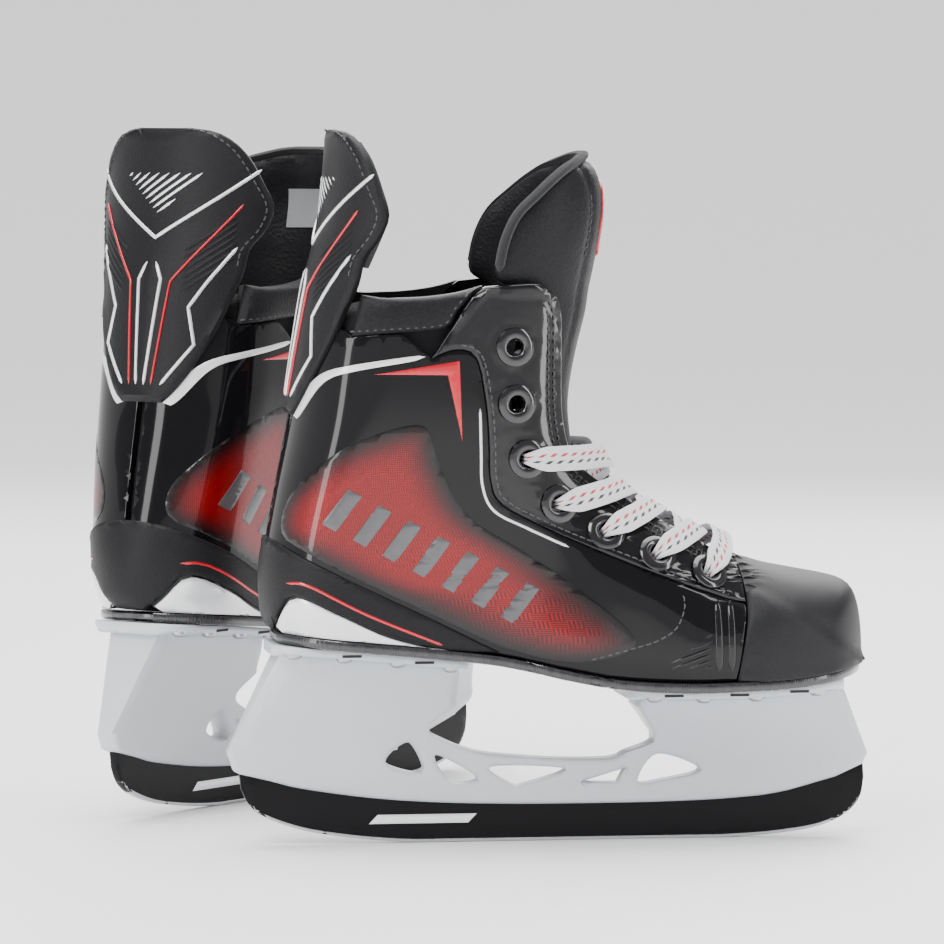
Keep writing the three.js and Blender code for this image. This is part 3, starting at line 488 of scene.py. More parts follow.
def turned_ring(profile, segments, seat, normal):
    """A closed (radius, height) profile turned about a surface's normal."""
    helper = Vector((0, 0, 1)) if abs(normal[2]) < 0.9 else Vector((1, 0, 0))
    n = Vector(normal).normalized()
    u = n.cross(helper).normalized()
    v = n.cross(u)
    verts, faces, k = [], [], len(profile)
    for i in range(segments):
        a = 2 * math.pi * i / segments
        outward = np.array(u) * math.cos(a) + np.array(v) * math.sin(a)
        verts += [seat + outward * r + np.array(n) * h for r, h in profile]
    for i in range(segments):
        for j in range(k):
            a, b = i * k + j, i * k + (j + 1) % k
            c, d = ((i + 1) % segments) * k + j, ((i + 1) % segments) * k + (j + 1) % k
            faces.append((a, b, d, c))
    return verts, faces


def joined(parts):
    verts, faces, at = [], [], 0
    for v, f in parts:
        verts += list(v)
        faces += [tuple(i + at for i in face) for face in f]
        at += len(v)
    return np.array(verts), faces


# ---- Materials ----
def node_material(name, color, second, roughness, metallic=0.0, coat=0.0, pattern="noise", scale=120,
                  bump=0.2, spread=0.06, coords="object", fade=None, squash=(1, 1, 1), **sockets):
    """A procedural finish. A pattern mixes two colours, varies the roughness and raises the surface."""
    material = bpy.data.materials.new(name)
    material.use_nodes = True
    nodes, links = material.node_tree.nodes, material.node_tree.links
    shader = nodes["Principled BSDF"]
    shader.inputs["Metallic"].default_value = metallic
    shader.inputs["Coat Weight"].default_value = coat
    shader.inputs["Coat Roughness"].default_value = 0.04
    for key, value in sockets.items():
        shader.inputs[key.replace("_", " ")].default_value = value
    if coords == "flat":
        source = nodes.new("ShaderNodeAttribute")
        source.attribute_name = "flat"
        vector = source.outputs["Vector"]
    else:
        vector = nodes.new("ShaderNodeTexCoord").outputs["Object"]
    mapping = nodes.new("ShaderNodeMapping")
    mapping.inputs["Scale"].default_value = squash
    links.new(vector, mapping.inputs["Vector"])
    vector = mapping.outputs["Vector"]

    def texture(kind, **values):
        node = nodes.new(f"ShaderNodeTex{kind}")
        links.new(vector, node.inputs["Vector"])
        for key, value in values.items():
            node.inputs[key].default_value = value
        return node

    if pattern == "weave":
        checker = texture("Checker", Scale=scale)
        waves = []
        for direction in ("X", "Y"):
            wave = texture("Wave", Scale=scale * 1.2)
            wave.bands_direction = direction
            waves.append(wave.outputs["Fac"])
        blend = nodes.new("ShaderNodeMix")
        links.new(checker.outputs["Fac"], blend.inputs["Factor"])
        links.new(waves[0], blend.inputs["A"])
        links.new(waves[1], blend.inputs["B"])
        factor = blend.outputs["Result"]
    elif pattern == "grain":
        cells = texture("Voronoi", Scale=scale)
        factor = cells.outputs["Distance"]
    elif pattern == "cells":
        cells = texture("Voronoi", Scale=scale, Randomness=0.0)
        cells.feature = "DISTANCE_TO_EDGE"
        ramp = nodes.new("ShaderNodeMapRange")
        ramp.inputs["From Max"].default_value = 0.16
        links.new(cells.outputs["Distance"], ramp.inputs["Value"])
        factor = ramp.outputs["Result"]
    elif pattern == "brushed":
        factor = texture("Noise", Scale=scale, Detail=4.0).outputs["Fac"]
    elif pattern == "ribs":
        wave = texture("Wave", Scale=scale)
        factor = wave.outputs["Fac"]
    else:
        factor = texture("Noise", Scale=scale, Detail=6.0, Roughness=0.65).outputs["Fac"]
    large = texture("Noise", Scale=28.0, Detail=3.0).outputs["Fac"]
    both_scales = nodes.new("ShaderNodeMix")
    both_scales.inputs["Factor"].default_value = 0.3
    links.new(factor, both_scales.inputs["A"])
    links.new(large, both_scales.inputs["B"])
    colour = nodes.new("ShaderNodeMix")
    colour.data_type = "RGBA"
    colour.inputs["A"].default_value = (*color, 1)
    colour.inputs["B"].default_value = (*second, 1)
    links.new(both_scales.outputs["Result"], colour.inputs["Factor"])
    result = colour.outputs["Result"]
    if fade:
        dark, reach = fade
        edge = nodes.new("ShaderNodeAttribute")
        edge.attribute_name = "edge"
        reached = nodes.new("ShaderNodeMapRange")
        reached.interpolation_type = "SMOOTHSTEP"
        reached.inputs["From Max"].default_value = reach * MM
        links.new(edge.outputs["Fac"], reached.inputs["Value"])
        faded = nodes.new("ShaderNodeMix")
        faded.data_type = "RGBA"
        faded.inputs["A"].default_value = (*dark, 1)
        links.new(reached.outputs["Result"], faded.inputs["Factor"])
        links.new(result, faded.inputs["B"])
        result = faded.outputs["Result"]
    links.new(result, shader.inputs["Base Color"])
    rough = nodes.new("ShaderNodeMapRange")
    rough.inputs["To Min"].default_value = max(0.02, roughness - spread)
    rough.inputs["To Max"].default_value = roughness + spread
    links.new(large, rough.inputs["Value"])
    links.new(rough.outputs["Result"], shader.inputs["Roughness"])
    raised = nodes.new("ShaderNodeBump")
    raised.inputs["Strength"].default_value = bump
    raised.inputs["Distance"].default_value = 0.0004
    links.new(factor, raised.inputs["Height"])
    links.new(raised.outputs["Normal"], shader.inputs["Normal"])
    return material


SHELL = node_material("gloss_shell", (0.0025, 0.0025, 0.0032), (0.005, 0.005, 0.006), 0.12, coat=0.4,
                      scale=90, bump=0.015, Specular_IOR_Level=0.08)
RED_WEAVE = node_material("red_weave", (0.36, 0.001, 0.004), (0.012, 0.0003, 0.0006), 0.3, metallic=0.35,
                          coat=0.5, pattern="weave", scale=380, bump=0.1, coords="flat",
                          fade=((0.003, 0.0025, 0.003), 13), Specular_IOR_Level=0.3)
SHAPE_GREY = node_material("shape_grey", (0.13, 0.13, 0.135), (0.06, 0.06, 0.065), 0.3, metallic=0.5,
                           coat=0.4, scale=300, bump=0.05, Specular_IOR_Level=0.3)
MATTE = node_material("matte_overlay", (0.006, 0.006, 0.007), (0.013, 0.013, 0.014), 0.42, pattern="grain",
                      scale=1500, bump=0.2, Specular_IOR_Level=0.16)
TOE = node_material("toe_rubber", (0.01, 0.01, 0.011), (0.018, 0.018, 0.02), 0.46, pattern="grain",
                    scale=1900, bump=0.14, Specular_IOR_Level=0.18)
SATIN = node_material("satin_eyestay", (0.003, 0.003, 0.004), (0.007, 0.007, 0.008), 0.14, coat=0.55,
                      pattern="grain", scale=1300, bump=0.04, Specular_IOR_Level=0.14)
SILVER = node_material("silver_film", (0.86, 0.87, 0.88), (0.72, 0.73, 0.75), 0.24, metallic=0.45, coat=0.5,
                       scale=160, bump=0.03)
WHITE_LINE = node_material("white_line", (0.82, 0.82, 0.82), (0.68, 0.69, 0.7), 0.28, metallic=0.25,
                           coat=0.4, scale=300, bump=0.04)
RED_LINE = node_material("red_line", (0.62, 0.004, 0.02), (0.4, 0.003, 0.012), 0.24, metallic=0.4, coat=0.8,
                         scale=300, bump=0.04)
HOLDER = node_material("holder_nylon", (0.5, 0.535, 0.58), (0.56, 0.59, 0.625), 0.3, coat=0.15, scale=420,
                       bump=0.05, Subsurface_Weight=0.05)
RUNNER = node_material("coated_steel", (0.003, 0.003, 0.0035), (0.009, 0.009, 0.01), 0.34, metallic=0.2,
                       pattern="brushed", scale=60, bump=0.06, squash=(4, 4, 60), Specular_IOR_Level=0.14)
BARE_STEEL = node_material("bare_steel", (0.55, 0.55, 0.56), (0.36, 0.36, 0.38), 0.26, metallic=1.0,
                           pattern="brushed", scale=90, bump=0.1, squash=(3, 3, 80))
SOLE_BLACK = node_material("sole_composite", (0.01, 0.01, 0.012), (0.03, 0.03, 0.033), 0.24, coat=0.5,
                           pattern="weave", scale=330, bump=0.1, coords="flat")
LEATHER = node_material("tongue_leather", (0.006, 0.006, 0.007), (0.014, 0.014, 0.016), 0.45,
                        pattern="grain", scale=900, bump=0.3, Specular_IOR_Level=0.14)
FELT = node_material("felt", (0.009, 0.009, 0.01), (0.024, 0.024, 0.027), 0.95, scale=1500, bump=0.6,
                     Sheen_Weight=0.15, Sheen_Roughness=0.6, Specular_IOR_Level=0.1)
LINING = node_material("lining", (0.006, 0.006, 0.007), (0.018, 0.018, 0.02), 0.9, pattern="weave",
                       scale=900, bump=0.4, coords="flat", Sheen_Weight=0.08, Specular_IOR_Level=0.1)
MESH = node_material("honeycomb_mesh", (0.05, 0.05, 0.055), (0.006, 0.006, 0.007), 0.5, pattern="cells",
                     scale=520, bump=0.8, coords="flat")
EYELET = node_material("eyelet_black", (0.006, 0.006, 0.007), (0.014, 0.014, 0.016), 0.16, metallic=0.3,
                       coat=0.8, scale=400, bump=0.04)
THREAD = node_material("thread", (0.03, 0.03, 0.033), (0.08, 0.08, 0.086), 0.6, scale=2600, bump=0.3)
LABEL = node_material("grey_label", (0.33, 0.34, 0.35), (0.22, 0.23, 0.24), 0.5, pattern="weave",
                      scale=1100, bump=0.3, coords="flat")
# Near-black painted shade for the inside of the holder's flange slots.
SLOT_SHADE = node_material("painted_slot_shade", (0.01, 0.01, 0.011), (0.02, 0.02, 0.021), 0.7, scale=500, bump=0.1)
RIVET = node_material("rivet_steel", (0.5, 0.5, 0.51), (0.38, 0.38, 0.4), 0.3, metallic=1.0, scale=500,
                      bump=0.1)


def lace_material():
    """White flat weave with two rows of red and black tracer dashes."""
    material = node_material("lace_white", (0.82, 0.82, 0.84), (0.68, 0.68, 0.71), 0.85, pattern="weave",
                             scale=1300, bump=0.5, coords="flat", Sheen_Weight=0.3)
    nodes, links = material.node_tree.nodes, material.node_tree.links
    shader = nodes["Principled BSDF"]
    white = shader.inputs["Base Color"].links[0].from_socket
    where = nodes.new("ShaderNodeAttribute")
    where.attribute_name = "flat"
    axes = nodes.new("ShaderNodeSeparateXYZ")
    links.new(where.outputs["Vector"], axes.inputs["Vector"])

    def maths(operation, a, b):
        node = nodes.new("ShaderNodeMath")
        node.operation = operation
        for i, value in enumerate((a, b)):
            if isinstance(value, (int, float)):
                node.inputs[i].default_value = value
            else:
                links.new(value, node.inputs[i])
        return node.outputs["Value"]

    for place, phase, dye in ((0.0012, 0.0, (0.6, 0.01, 0.03, 1)),
                              (-0.0012, 0.0021, (0.02, 0.02, 0.025, 1))):
        slant = maths("ADD", maths("MULTIPLY", axes.outputs["X"], 1.6), axes.outputs["Y"])
        turn = maths("FRACT", maths("MULTIPLY", maths("ADD", slant, phase), 240.0), 0)
        dash = maths("LESS_THAN", turn, 0.45)
        row = maths("LESS_THAN", maths("ABSOLUTE", maths("SUBTRACT", axes.outputs["X"], place), 0), 0.00055)
        dyed = nodes.new("ShaderNodeMix")
        dyed.data_type = "RGBA"
        links.new(maths("MULTIPLY", dash, row), dyed.inputs["Factor"])
        links.new(white, dyed.inputs["A"])
        dyed.inputs["B"].default_value = dye
        white = dyed.outputs["Result"]
    links.new(white, shader.inputs["Base Color"])
    return material


LACE = lace_material()

# ---- Blade and holder ----
STEEL_TOP = [
    (0, 24.4), (10.5, 21.8), (21.4, 19), (44, 15.6), (67, 13.7), (94, 12.8), (121, 12.6),
    (149, 12.8), (170, 13.7), (186, 15.5), (204.5, 20.4), (214.5, 25),
]
STEEL_TOE = [(214.8, 20), (213.6, 13.5), (209.5, 8.4), (203.5, 5), (195, 2.6), (180, 0.8), (165, 0.1)]
STEEL_HEEL = [(60, 0.2), (50, 0.8), (36, 2.3), (21.4, 4.9), (9, 9.3), (3.4, 13.6), (0.6, 19)]
HALF_STEEL = 1.5


def slab(half, rim):
    """Two faces either side of the blade's plane. half is a number or a function of x and z."""

    def face(sign):
        def at(x, z, d):
            h = half(x, z) if callable(half) else np.full(len(x), float(half))
            return np.stack([x, sign * (h - fillet(d, rim)), z], 1)

        return at

    return face(1), face(-1)


def build_blade():
    bottom = np.vstack([curve(STEEL_TOE, 2), curve(STEEL_HEEL, 2)])
    top = curve([(x, z + 4) for x, z in STEEL_TOP[1:-1]], 3)
    outline = np.vstack([top, [STEEL_TOP[-1]], bottom, [STEEL_TOP[0]]])
    faces = slab(HALF_STEEL, 0.25)
    verts, polygons, attributes = shell(outline, *faces, spacing=4, rim=0.25)
    make("blade_steel", verts, polygons, RUNNER, "runner_black", attributes=attributes, replaces=["blade"])
    edge = np.vstack([curve(STEEL_TOE[1:], 2), curve(STEEL_HEEL[:-1], 2)])
    band = np.vstack([edge + [0, -0.01], (edge + [0, 1.1])[::-1]])
    verts, polygons, attributes = shell(band, *slab(HALF_STEEL + 0.03, 0.1), spacing=4, rim=0.1)
    make("blade_ground_edge", verts, polygons, BARE_STEEL, "bolt_steel", attributes=attributes)
    plate = straight([(47, 9.7), (81, 9.7), (78, 6.6), (44, 6.6)], 2)
    verts, polygons, attributes = shell(plate, *slab(HALF_STEEL + 0.06, 0.1), spacing=3, rim=0.1)
    make("blade_plate", verts, polygons, SILVER, "support_silver", attributes=attributes)


FLANGE = 2.6  # thickness of the holder's two flanges
REAR_FLANGE = (9.5, 77.2, 21)  # from, to, half width
FRONT_FLANGE = (130, 205.8, 24)
SLOT_LENGTH = 6.5
SLOT_RISE = 1.5  # below the holder's roof
WINDOWS = [
    [(49.5, 28), (57.2, 34.5), (62.6, 25.6), (58.6, 24.2)],
    [(66.6, 30), (80.5, 22.6), (79, 20.6), (71.4, 21)],
    [(85.5, 25.6), (111, 24.6), (97, 19.6), (93.4, 19.6)],
    [(116.8, 20), (131.8, 24.6), (129.2, 19.8)],
    [(136.2, 20), (142.8, 29.2), (157.6, 23.8), (144.5, 20.4)],
]


def holder_roof(x):
    return sole_top(x) - SOLE - GAP


def build_holder():
    roof_rear = [(x, holder_roof(x) - 1) for x in np.arange(74, 12, -6.0)]
    roof_front = [(x, holder_roof(x) - 1) for x in np.arange(203, 134, -6.0)]
    outline = np.vstack([
        straight([(-4.3, 31.5), (-2, 25.4)], 1.5, False), curve(STEEL_TOP[:-1], 2.5),
        straight([(214, 24.8), (215.8, 28.7), (206, 51)], 1.5, False), roof_front,
        curve([(135, 46), (139.5, 39), (141.2, 34), (131.3, 30.2), (126.7, 28.3), (109, 28.3), (92.9, 29.5),
               (81.4, 31), (70.5, 34.8), (64, 39.6), (73, 47)], 2), roof_rear,
    ])
    keep = [0]
    for i in range(1, len(outline)):
        if np.linalg.norm(outline[i] - outline[keep[-1]]) > 0.7:
            keep.append(i)
    outline = outline[keep]

    def half(x, z):
        share = smooth((z - 27) / (holder_roof(x) - 29))
        return mix(4.2, 12.5, share) - 1.0 * smooth((25 - z) / 8)

    holes = [curve(w, 1.6, closed=True) if len(w) > 3 else straight(w, 1.6) for w in WINDOWS]
    body = shell(outline, *slab(half, 1.4), holes=holes, spacing=2.6, rim=1.4)
    parts = [(body[0], body[1])]
    for x0, x1, wide in (REAR_FLANGE, FRONT_FLANGE):
        corner = wide * 0.55
        a = np.arange(48) * 2 * math.pi / 48
        cx = np.where(np.cos(a) > 0, x1 - corner, x0 + corner) + corner * np.cos(a)
        cy = (wide - corner) * np.sign(np.sin(a)) + corner * np.sin(a)
        plan = straight(np.stack([cx, cy], 1), 3)

        def top(x, y, d):
            return np.stack([x, y, holder_roof(x) - fillet(d, 0.6)], 1)

        def low(x, y, d):
            thick = FLANGE + 1.6 * smooth((wide - 3 - np.abs(y)) / 8) - fillet(d, 1.0)
            return np.stack([x, y, holder_roof(x) - thick], 1)

        plate = shell(plan, top, low, spacing=3, rim=0.8)
        parts.append((plate[0], [tuple(reversed(f)) for f in plate[1]]))
    verts, faces = joined(parts)
    make("holder_moulding", verts, faces, HOLDER, "holder_white", replaces=["holder"], sharp=50)
    # The slots in the flanges' sides are not cut: near-black boxes at the flange edges paint the shade
    # inside them.
    slot_shade_boxes = []
    for x in (36, 60.5, 145, 167.5, 188):
        wide = (REAR_FLANGE if x < FRONT_FLANGE[0] else FRONT_FLANGE)[2]
        for sign in (-1, 1):
            z = holder_roof(x) - SLOT_RISE
            box = [(dx * SLOT_LENGTH / 2, dy, dz) for dx in (-1, 1) for dy in (-0.5, 0.15) for dz in (-0.45,
                0.45)]
            verts = [(x + dx, sign * (wide + dy), z + dz) for dx, dy, dz in box]
            faces = [(0, 1, 3, 2), (4, 6, 7, 5), (0, 4, 5, 1), (2, 3, 7, 6), (0, 2, 6, 4), (1, 5, 7, 3)]
            slot_shade_boxes.append((verts, faces if sign > 0 else [f[::-1] for f in faces]))
    verts, faces = joined(slot_shade_boxes)
    make("holder_flange_slot_shade", verts, faces, SLOT_SHADE, "runner_black")
    rivets = []
    profile = [(0.01, -1.6), (0.01, 0.9), (1.4, 0.8), (2.4, 0.3), (2.7, -0.3), (2.7, -1.6)]
    for xs, y in (((17, 34, 52, 70), 16.5), ((139, 156, 174, 195), 19)):
        for x in xs:
            for sign in (-1, 1):
                seat = np.array([x, sign * y, holder_roof(x) - FLANGE - 0.9])
                rivets.append(turned_ring(profile, 12, seat, (0, 0, -1)))
    verts, faces = joined(rivets)
    make("holder_rivets", verts, faces, RIVET, "bolt_steel")


def build_outsole():
    phi = np.linspace(0, 2 * math.pi, 150, endpoint=False)
    x = mix(11.5, 213.2, (1 - np.cos(phi)) / 2)
    y = 3 * smooth((x - 105) / 100) + np.sign(np.sin(phi)) * (half_width(x, sole_top(x) + 2) + 0.7)
    outline = np.stack([x, y], 1)
    outline = outline[np.linalg.norm(outline - np.roll(outline, 1, 0), axis=1) > 0.4]

    def top(x, y, d):
        return np.stack([x, y, sole_top(x) - 0.05 - fillet(d, 0.8)], 1)

    def low(x, y, d):
        return np.stack([x, y, sole_top(x) - SOLE + fillet(d, 1.0)], 1)

    verts, faces, attributes = shell(outline, top, low, spacing=4, rim=0.9)
    faces = [tuple(reversed(f)) for f in faces]
    make("outsole_plate", verts, faces, SOLE_BLACK, "sole_black", attributes=attributes,
         replaces=["outsole"])


# ---- Upper ----
FACING_EDGE = [
    (79.3, 189.6), (88, 190.4), (97.4, 190.5), (102.8, 187.5), (105.4, 181.5), (105.8, 170),
    (105.8, 156), (106.3, 146), (108.2, 136.5), (112, 129.8), (118, 124.6), (125, 120),
    (134, 114), (147, 106.6), (156, 101.6), (163.8, 97.2),
]
EYESTAY_SEAM = [
    (61, 165.8), (69.3, 168.6), (76, 166), (79.3, 151.6), (80.6, 136.7), (81.2, 125),
    (85.2, 116.8), (102, 107.8), (120, 100), (144, 90.5), (166.5, 82.8),
]
COLLAR_SEAM = [(34, 173), (47.4, 174.1), (65.2, 175.6), (69.9, 181.3), (74.5, 186.5)]
COLLAR_TOP = [(78.5, 189.8), (70.2, 187.6), (59, 186.2), (46, 186), (37.5, 187.2)]
COUNTER_TOP = [(9.3, 105), (19.9, 98.8), (36.6, 90.5), (61.5, 78.6), (85, 66.8)]
COUNTER_FOOT = [(68, 67.5), (47.7, 72.8), (31.1, 80.3), (17.2, 86.2), (12.6, 80.5), (11.2, 73.6)]
TOE_SEAM = [(165.4, 57.5), (168.8, 79.4), (168.5, 97.2)]
EYELET_LINE = [
    (88.9, 169.5), (89.6, 150.3), (92.8, 133), (104.7, 116.5), (121.6, 106.4), (138.3, 98.9), (155.6, 92.6),
]
EYELET_RIDGE = np.array([
    (121, 172), (120.5, 153), (122, 138), (128, 124), (137, 117), (147.5, 111.5), (163, 102),
], float)
STRIP_OUTLINE = [
    (82.5, 177), (95.5, 177), (96.2, 151), (98.8, 137.5), (108.5, 122.5), (123.5, 113.3), (140.5, 105.5),
    (157.6, 96.6), (161.5, 90), (155.5, 88), (137, 94.5), (119, 101), (101, 109.5), (87, 126), (83.2, 140),
    (82.6, 151),
]
LINER_FRONT = [
    (158, 57.5), (158, 81), (143, 86.5), (120, 95.5), (100, 103.5), (83, 112.5), (77.5, 124), (76.5, 136),
    (75.5, 152), (72, 163), (66, 171.5), (73, 183), (46, 183.5),
]
FRONT_S = math.pi * S_SCALE  # the boot's front on the flat pattern


def spaced(points, count):
    dense = curve(points, 0.3)
    length = np.concatenate([[0], np.cumsum(np.linalg.norm(np.diff(dense, axis=0), axis=1))])
    at = np.linspace(0, length[-1], count)
    return np.stack([np.interp(at, length, dense[:, i]) for i in range(dense.shape[1])], 1)


EYELETS = spaced(EYELET_LINE, 7)


def sole_run(x0, x1, step=3.0, above=0.2):
    xs = np.linspace(x0, x1, max(2, int(abs(x1 - x0) / step)))
    return np.stack([xs, sole_top(xs) + above], 1)


def round_hole(x, z, radius, side, count=16):
    """A round hole in the wall, on the flat pattern."""
    centre = flat([(x, z)], side)
    s, w = centre[:, 0], centre[:, 1]
    ds = np.linalg.norm(boot_point(s + 1, w) - boot_point(s - 1, w)) / 2
    dw = np.linalg.norm(boot_point(s, w + 1) - boot_point(s, w - 1)) / 2
    a = np.arange(count) * 2 * math.pi / count
    return centre + np.stack([np.cos(a) * radius / ds, np.sin(a) * radius / dw], 1)


def round_heel(side_outline):
    """An outline symmetric about the heel, from its inner half."""
    return np.vstack([side_outline, (side_outline * [-1, 1])[::-1]])


def build_shell():
    quarter = np.vstack([
        sole_run(13, 164.6, 3), straight([(165.2, 57.5), (168.4, 79), (168.4, 83)], 2, False),
        curve(EYESTAY_SEAM[::-1], 2)[2:], curve([(60, 167), (52, 173.6), (47.4, 174), (36, 173.2)], 2),
        [(30.6, 176), (29.8, 184)], [(back_of(z) + 0.03, z) for z in np.arange(184, 77, -2.5)],
    ])
    both("quarter_shell", lambda side: flat(quarter, side), SHELL, "shell_gloss", lift=-0.2, thick=2.6,
         rim=0.5, replaces=["HALF_quarter"], spacing=3.4)
    eyestay = np.vstack([
        curve(FACING_EDGE, 2), straight([(168.2, 96.4), (168.4, 83.4)], 2, False),
        curve(EYESTAY_SEAM[::-1], 2)[2:-1],
        straight([(61, 165.8), (74.5, 186.5)], 2, False),
    ])

    def welt(s, w, d):
        """A rolled edge and a shallow channel inside it."""
        return 0.35 * np.exp(-(((d - 1.6) / 0.9) ** 2)) - 0.25 * np.exp(-(((d - 3.4) / 0.7) ** 2))

    both("eyestay_panel", lambda side: flat(eyestay, side), SATIN, "eyestay_black", lift=0.7, thick=3.4,
         rim=0.9,
         spacing=2.2, relief=welt, holes_of=lambda side: [round_hole(x, z, 3.3, side) for x, z in EYELETS],
         replaces=["HALF_eyestay"])
    counter = np.vstack([curve(COUNTER_TOP, 2), curve(COUNTER_FOOT, 2)])
    counter = flat(counter, 1)
    counter = counter[counter[:, 0] > 1.0]
    patch("counter_panel", round_heel(counter), MATTE, "overlay_black", lift=0.9, thick=1.8, rim=0.8,
          spacing=2.4,
          relief=lambda s, w, d: 0.3 * np.exp(-(((d - 1.8) / 0.8) ** 2)), replaces=["heel_counter"])
    support = np.vstack([curve(COUNTER_FOOT, 2)[:-1][::-1] + [0.4, -0.8], sole_run(67.5, 14, 3)])
    both("silver_support", lambda side: flat(support, side), SILVER, "support_silver", lift=0.5, thick=1.4,
         rim=0.4, spacing=2.4, replaces=["HALF_heel_support"])
    front = flat(curve(LINER_FRONT, 3), 1)
    bottom = flat(sole_run(157, 14, 4), 1)
    half = np.vstack([front[::-1], bottom])
    half = half[half[:, 0] >= 0]
    patch("liner_wall", round_heel(half), LINING, "lining", lift=-3.3, thick=3.0, rim=1.2, spacing=4,
          replaces=["liner"])


def build_toe():
    low = sole_run(165.6, 212.6, 2.5)
    half = np.vstack([flat(curve(TOE_SEAM[::-1], 2), 1), flat(low, 1)])
    half = half[half[:, 0] < FRONT_S - 0.5]
    half = half[np.concatenate([[True], np.linalg.norm(np.diff(half, axis=0), axis=1) > 0.6])]
    outline = np.vstack([half, np.stack([2 * FRONT_S - half[::-1, 0], half[::-1, 1]], 1)])

    def crease(s, w, d):
        """The moulded step that sweeps forward and down on each side, and the lip along the sole."""
        p = boot_point(s, w)
        line = 89 - (p[:, 0] - 170) * 0.62
        below = smooth((line - p[:, 2]) / 2.4) * smooth((p[:, 0] - 169.5) / 4)
        lip = smooth((sole_top(p[:, 0]) + 4.2 - p[:, 2]) / 1.2)
        seam = 0.5 * np.exp(-(((d - 2.6) / 0.7) ** 2))
        return 1.3 * below + 0.7 * lip - seam

    patch("toe_cap_moulding", outline, TOE, "overlay_black", lift=0.7, thick=3.3, rim=1.0, spacing=2.0,
          relief=crease, replaces=["toe_cap"])


def build_eyelets():
    rim = [
        (2.55, -5.3), (3.3, -5.3), (3.3, 0.9), (6.2, 0.95), (6.55, 1.35), (6.4, 1.85), (5.6, 2.3),
        (4.4, 2.5),
        (3.3, 2.3), (2.75, 1.7), (2.55, 0.9),
    ]
    for half, side in (("lateral", -1), ("medial", 1)):
        rings = []
        for x, z in EYELETS:
            seat, normal = boot(*flat([(x, z)], side).T)
            rings.append(turned_ring(rim, 28, seat[0], normal[0]))
        verts, faces = joined(rings)
        make(f"{half}_eyelets", verts, faces, EYELET, "eyelet_black", replaces=[f"{half}_eyelet_row"])
    both("eyelet_strip", lambda side: flat(curve(STRIP_OUTLINE, 2, closed=True), side), LEATHER,
         "eyelet_black",
         lift=-3.7, thick=1.2, rim=0.4,
         holes_of=lambda side: [round_hole(x, z, 3.2, side) for x, z in EYELETS])


# ---- Tongue ----
TONGUE_TOPS = [  # height, foremost x, half width, turn
    (180, 118.6, 33, 1.46), (192, 120.6, 34, 1.5), (199, 121.3, 34.5, 1.52), (207, 122.7, 34.5, 1.5),
    (214, 123.5, 34, 1.42), (220, 123.2, 33.5, 1.24), (225.5, 122, 33, 1.02), (230, 120.6, 32, 0.76),
    (232.6, 118.8, 30, 0.45), (236, 116, 29, 0.3),
]
tongue_x = spline_table([(z, x) for z, x, _, _ in TONGUE_TOPS])
tongue_half = spline_table([(z, h) for z, _, h, _ in TONGUE_TOPS])
TONGUE_ARC = 44.0  # flat millimetres for each radian round the tongue
W_TOP = _lengths[-1]


def high_w(z):
    return to_w(z) + np.maximum(0, z - 206)


def high_z(w):
    return to_z(w) + np.maximum(0, w - W_TOP)


def tongue_point(t, w):
    """t runs across the tongue, 0 along its middle, and w up it."""
    z = high_z(w)
    a = t / TONGUE_ARC
    low_z = np.minimum(z, 198)
    s = FRONT_S - np.abs(t) * S_SCALE / TONGUE_ARC / 1.06
    low_w = to_w(low_z)
    wall, normal = boot(np.minimum(s, FRONT_S - 0.6), low_w)
    depth = mix(8.6, 4.4, smooth((z - 145) / 42))
    under = wall - normal * depth[:, None]
    middle = 3 * smooth((under[:, 0] - 105) / 100)
    under[:, 1] = middle + np.where(t < 0, -1, 1) * np.abs(under[:, 1] - middle)
    above = np.stack([tongue_x(z) - 40 * (1 - np.cos(a)), tongue_half(z) * np.sin(a), z], 1)
    share = smooth((z - 176) / 18)[:, None]
    centre = smooth(1 - np.abs(t) / 5)[:, None]
    under[:, 1:2] = mix(under[:, 1:2], (middle + t * 0.9)[:, None], centre)
    return mix(under, above, share)


def tongue(t, w):
    return with_normals(tongue_point, t, w, flip=1)


def tongue_outline():
    foot = [(160, 94.5), (140, 101.5), (122, 109.5), (106, 119), (96, 132.5), (93, 146), (92.5, 165),
            (92.8, 184)]
    low = flat(foot, 1)
    half = np.stack([(FRONT_S - low[:, 0]) * TONGUE_ARC / S_SCALE * 1.06, low[:, 1]], 1)
    tops = [(TONGUE_ARC * turn, high_w(z)) for z, _, _, turn in TONGUE_TOPS[1:-1]]
    half = np.vstack([half, tops, [(9, high_w(233.4))]])
    half = curve(half, 2.2)
    return np.vstack([half, half[::-1] * [-1, 1]])


TONGUE_SEAT = 3.0  # from the drawn surface down to the tongue's middle
TONGUE_BACKING = 3.2


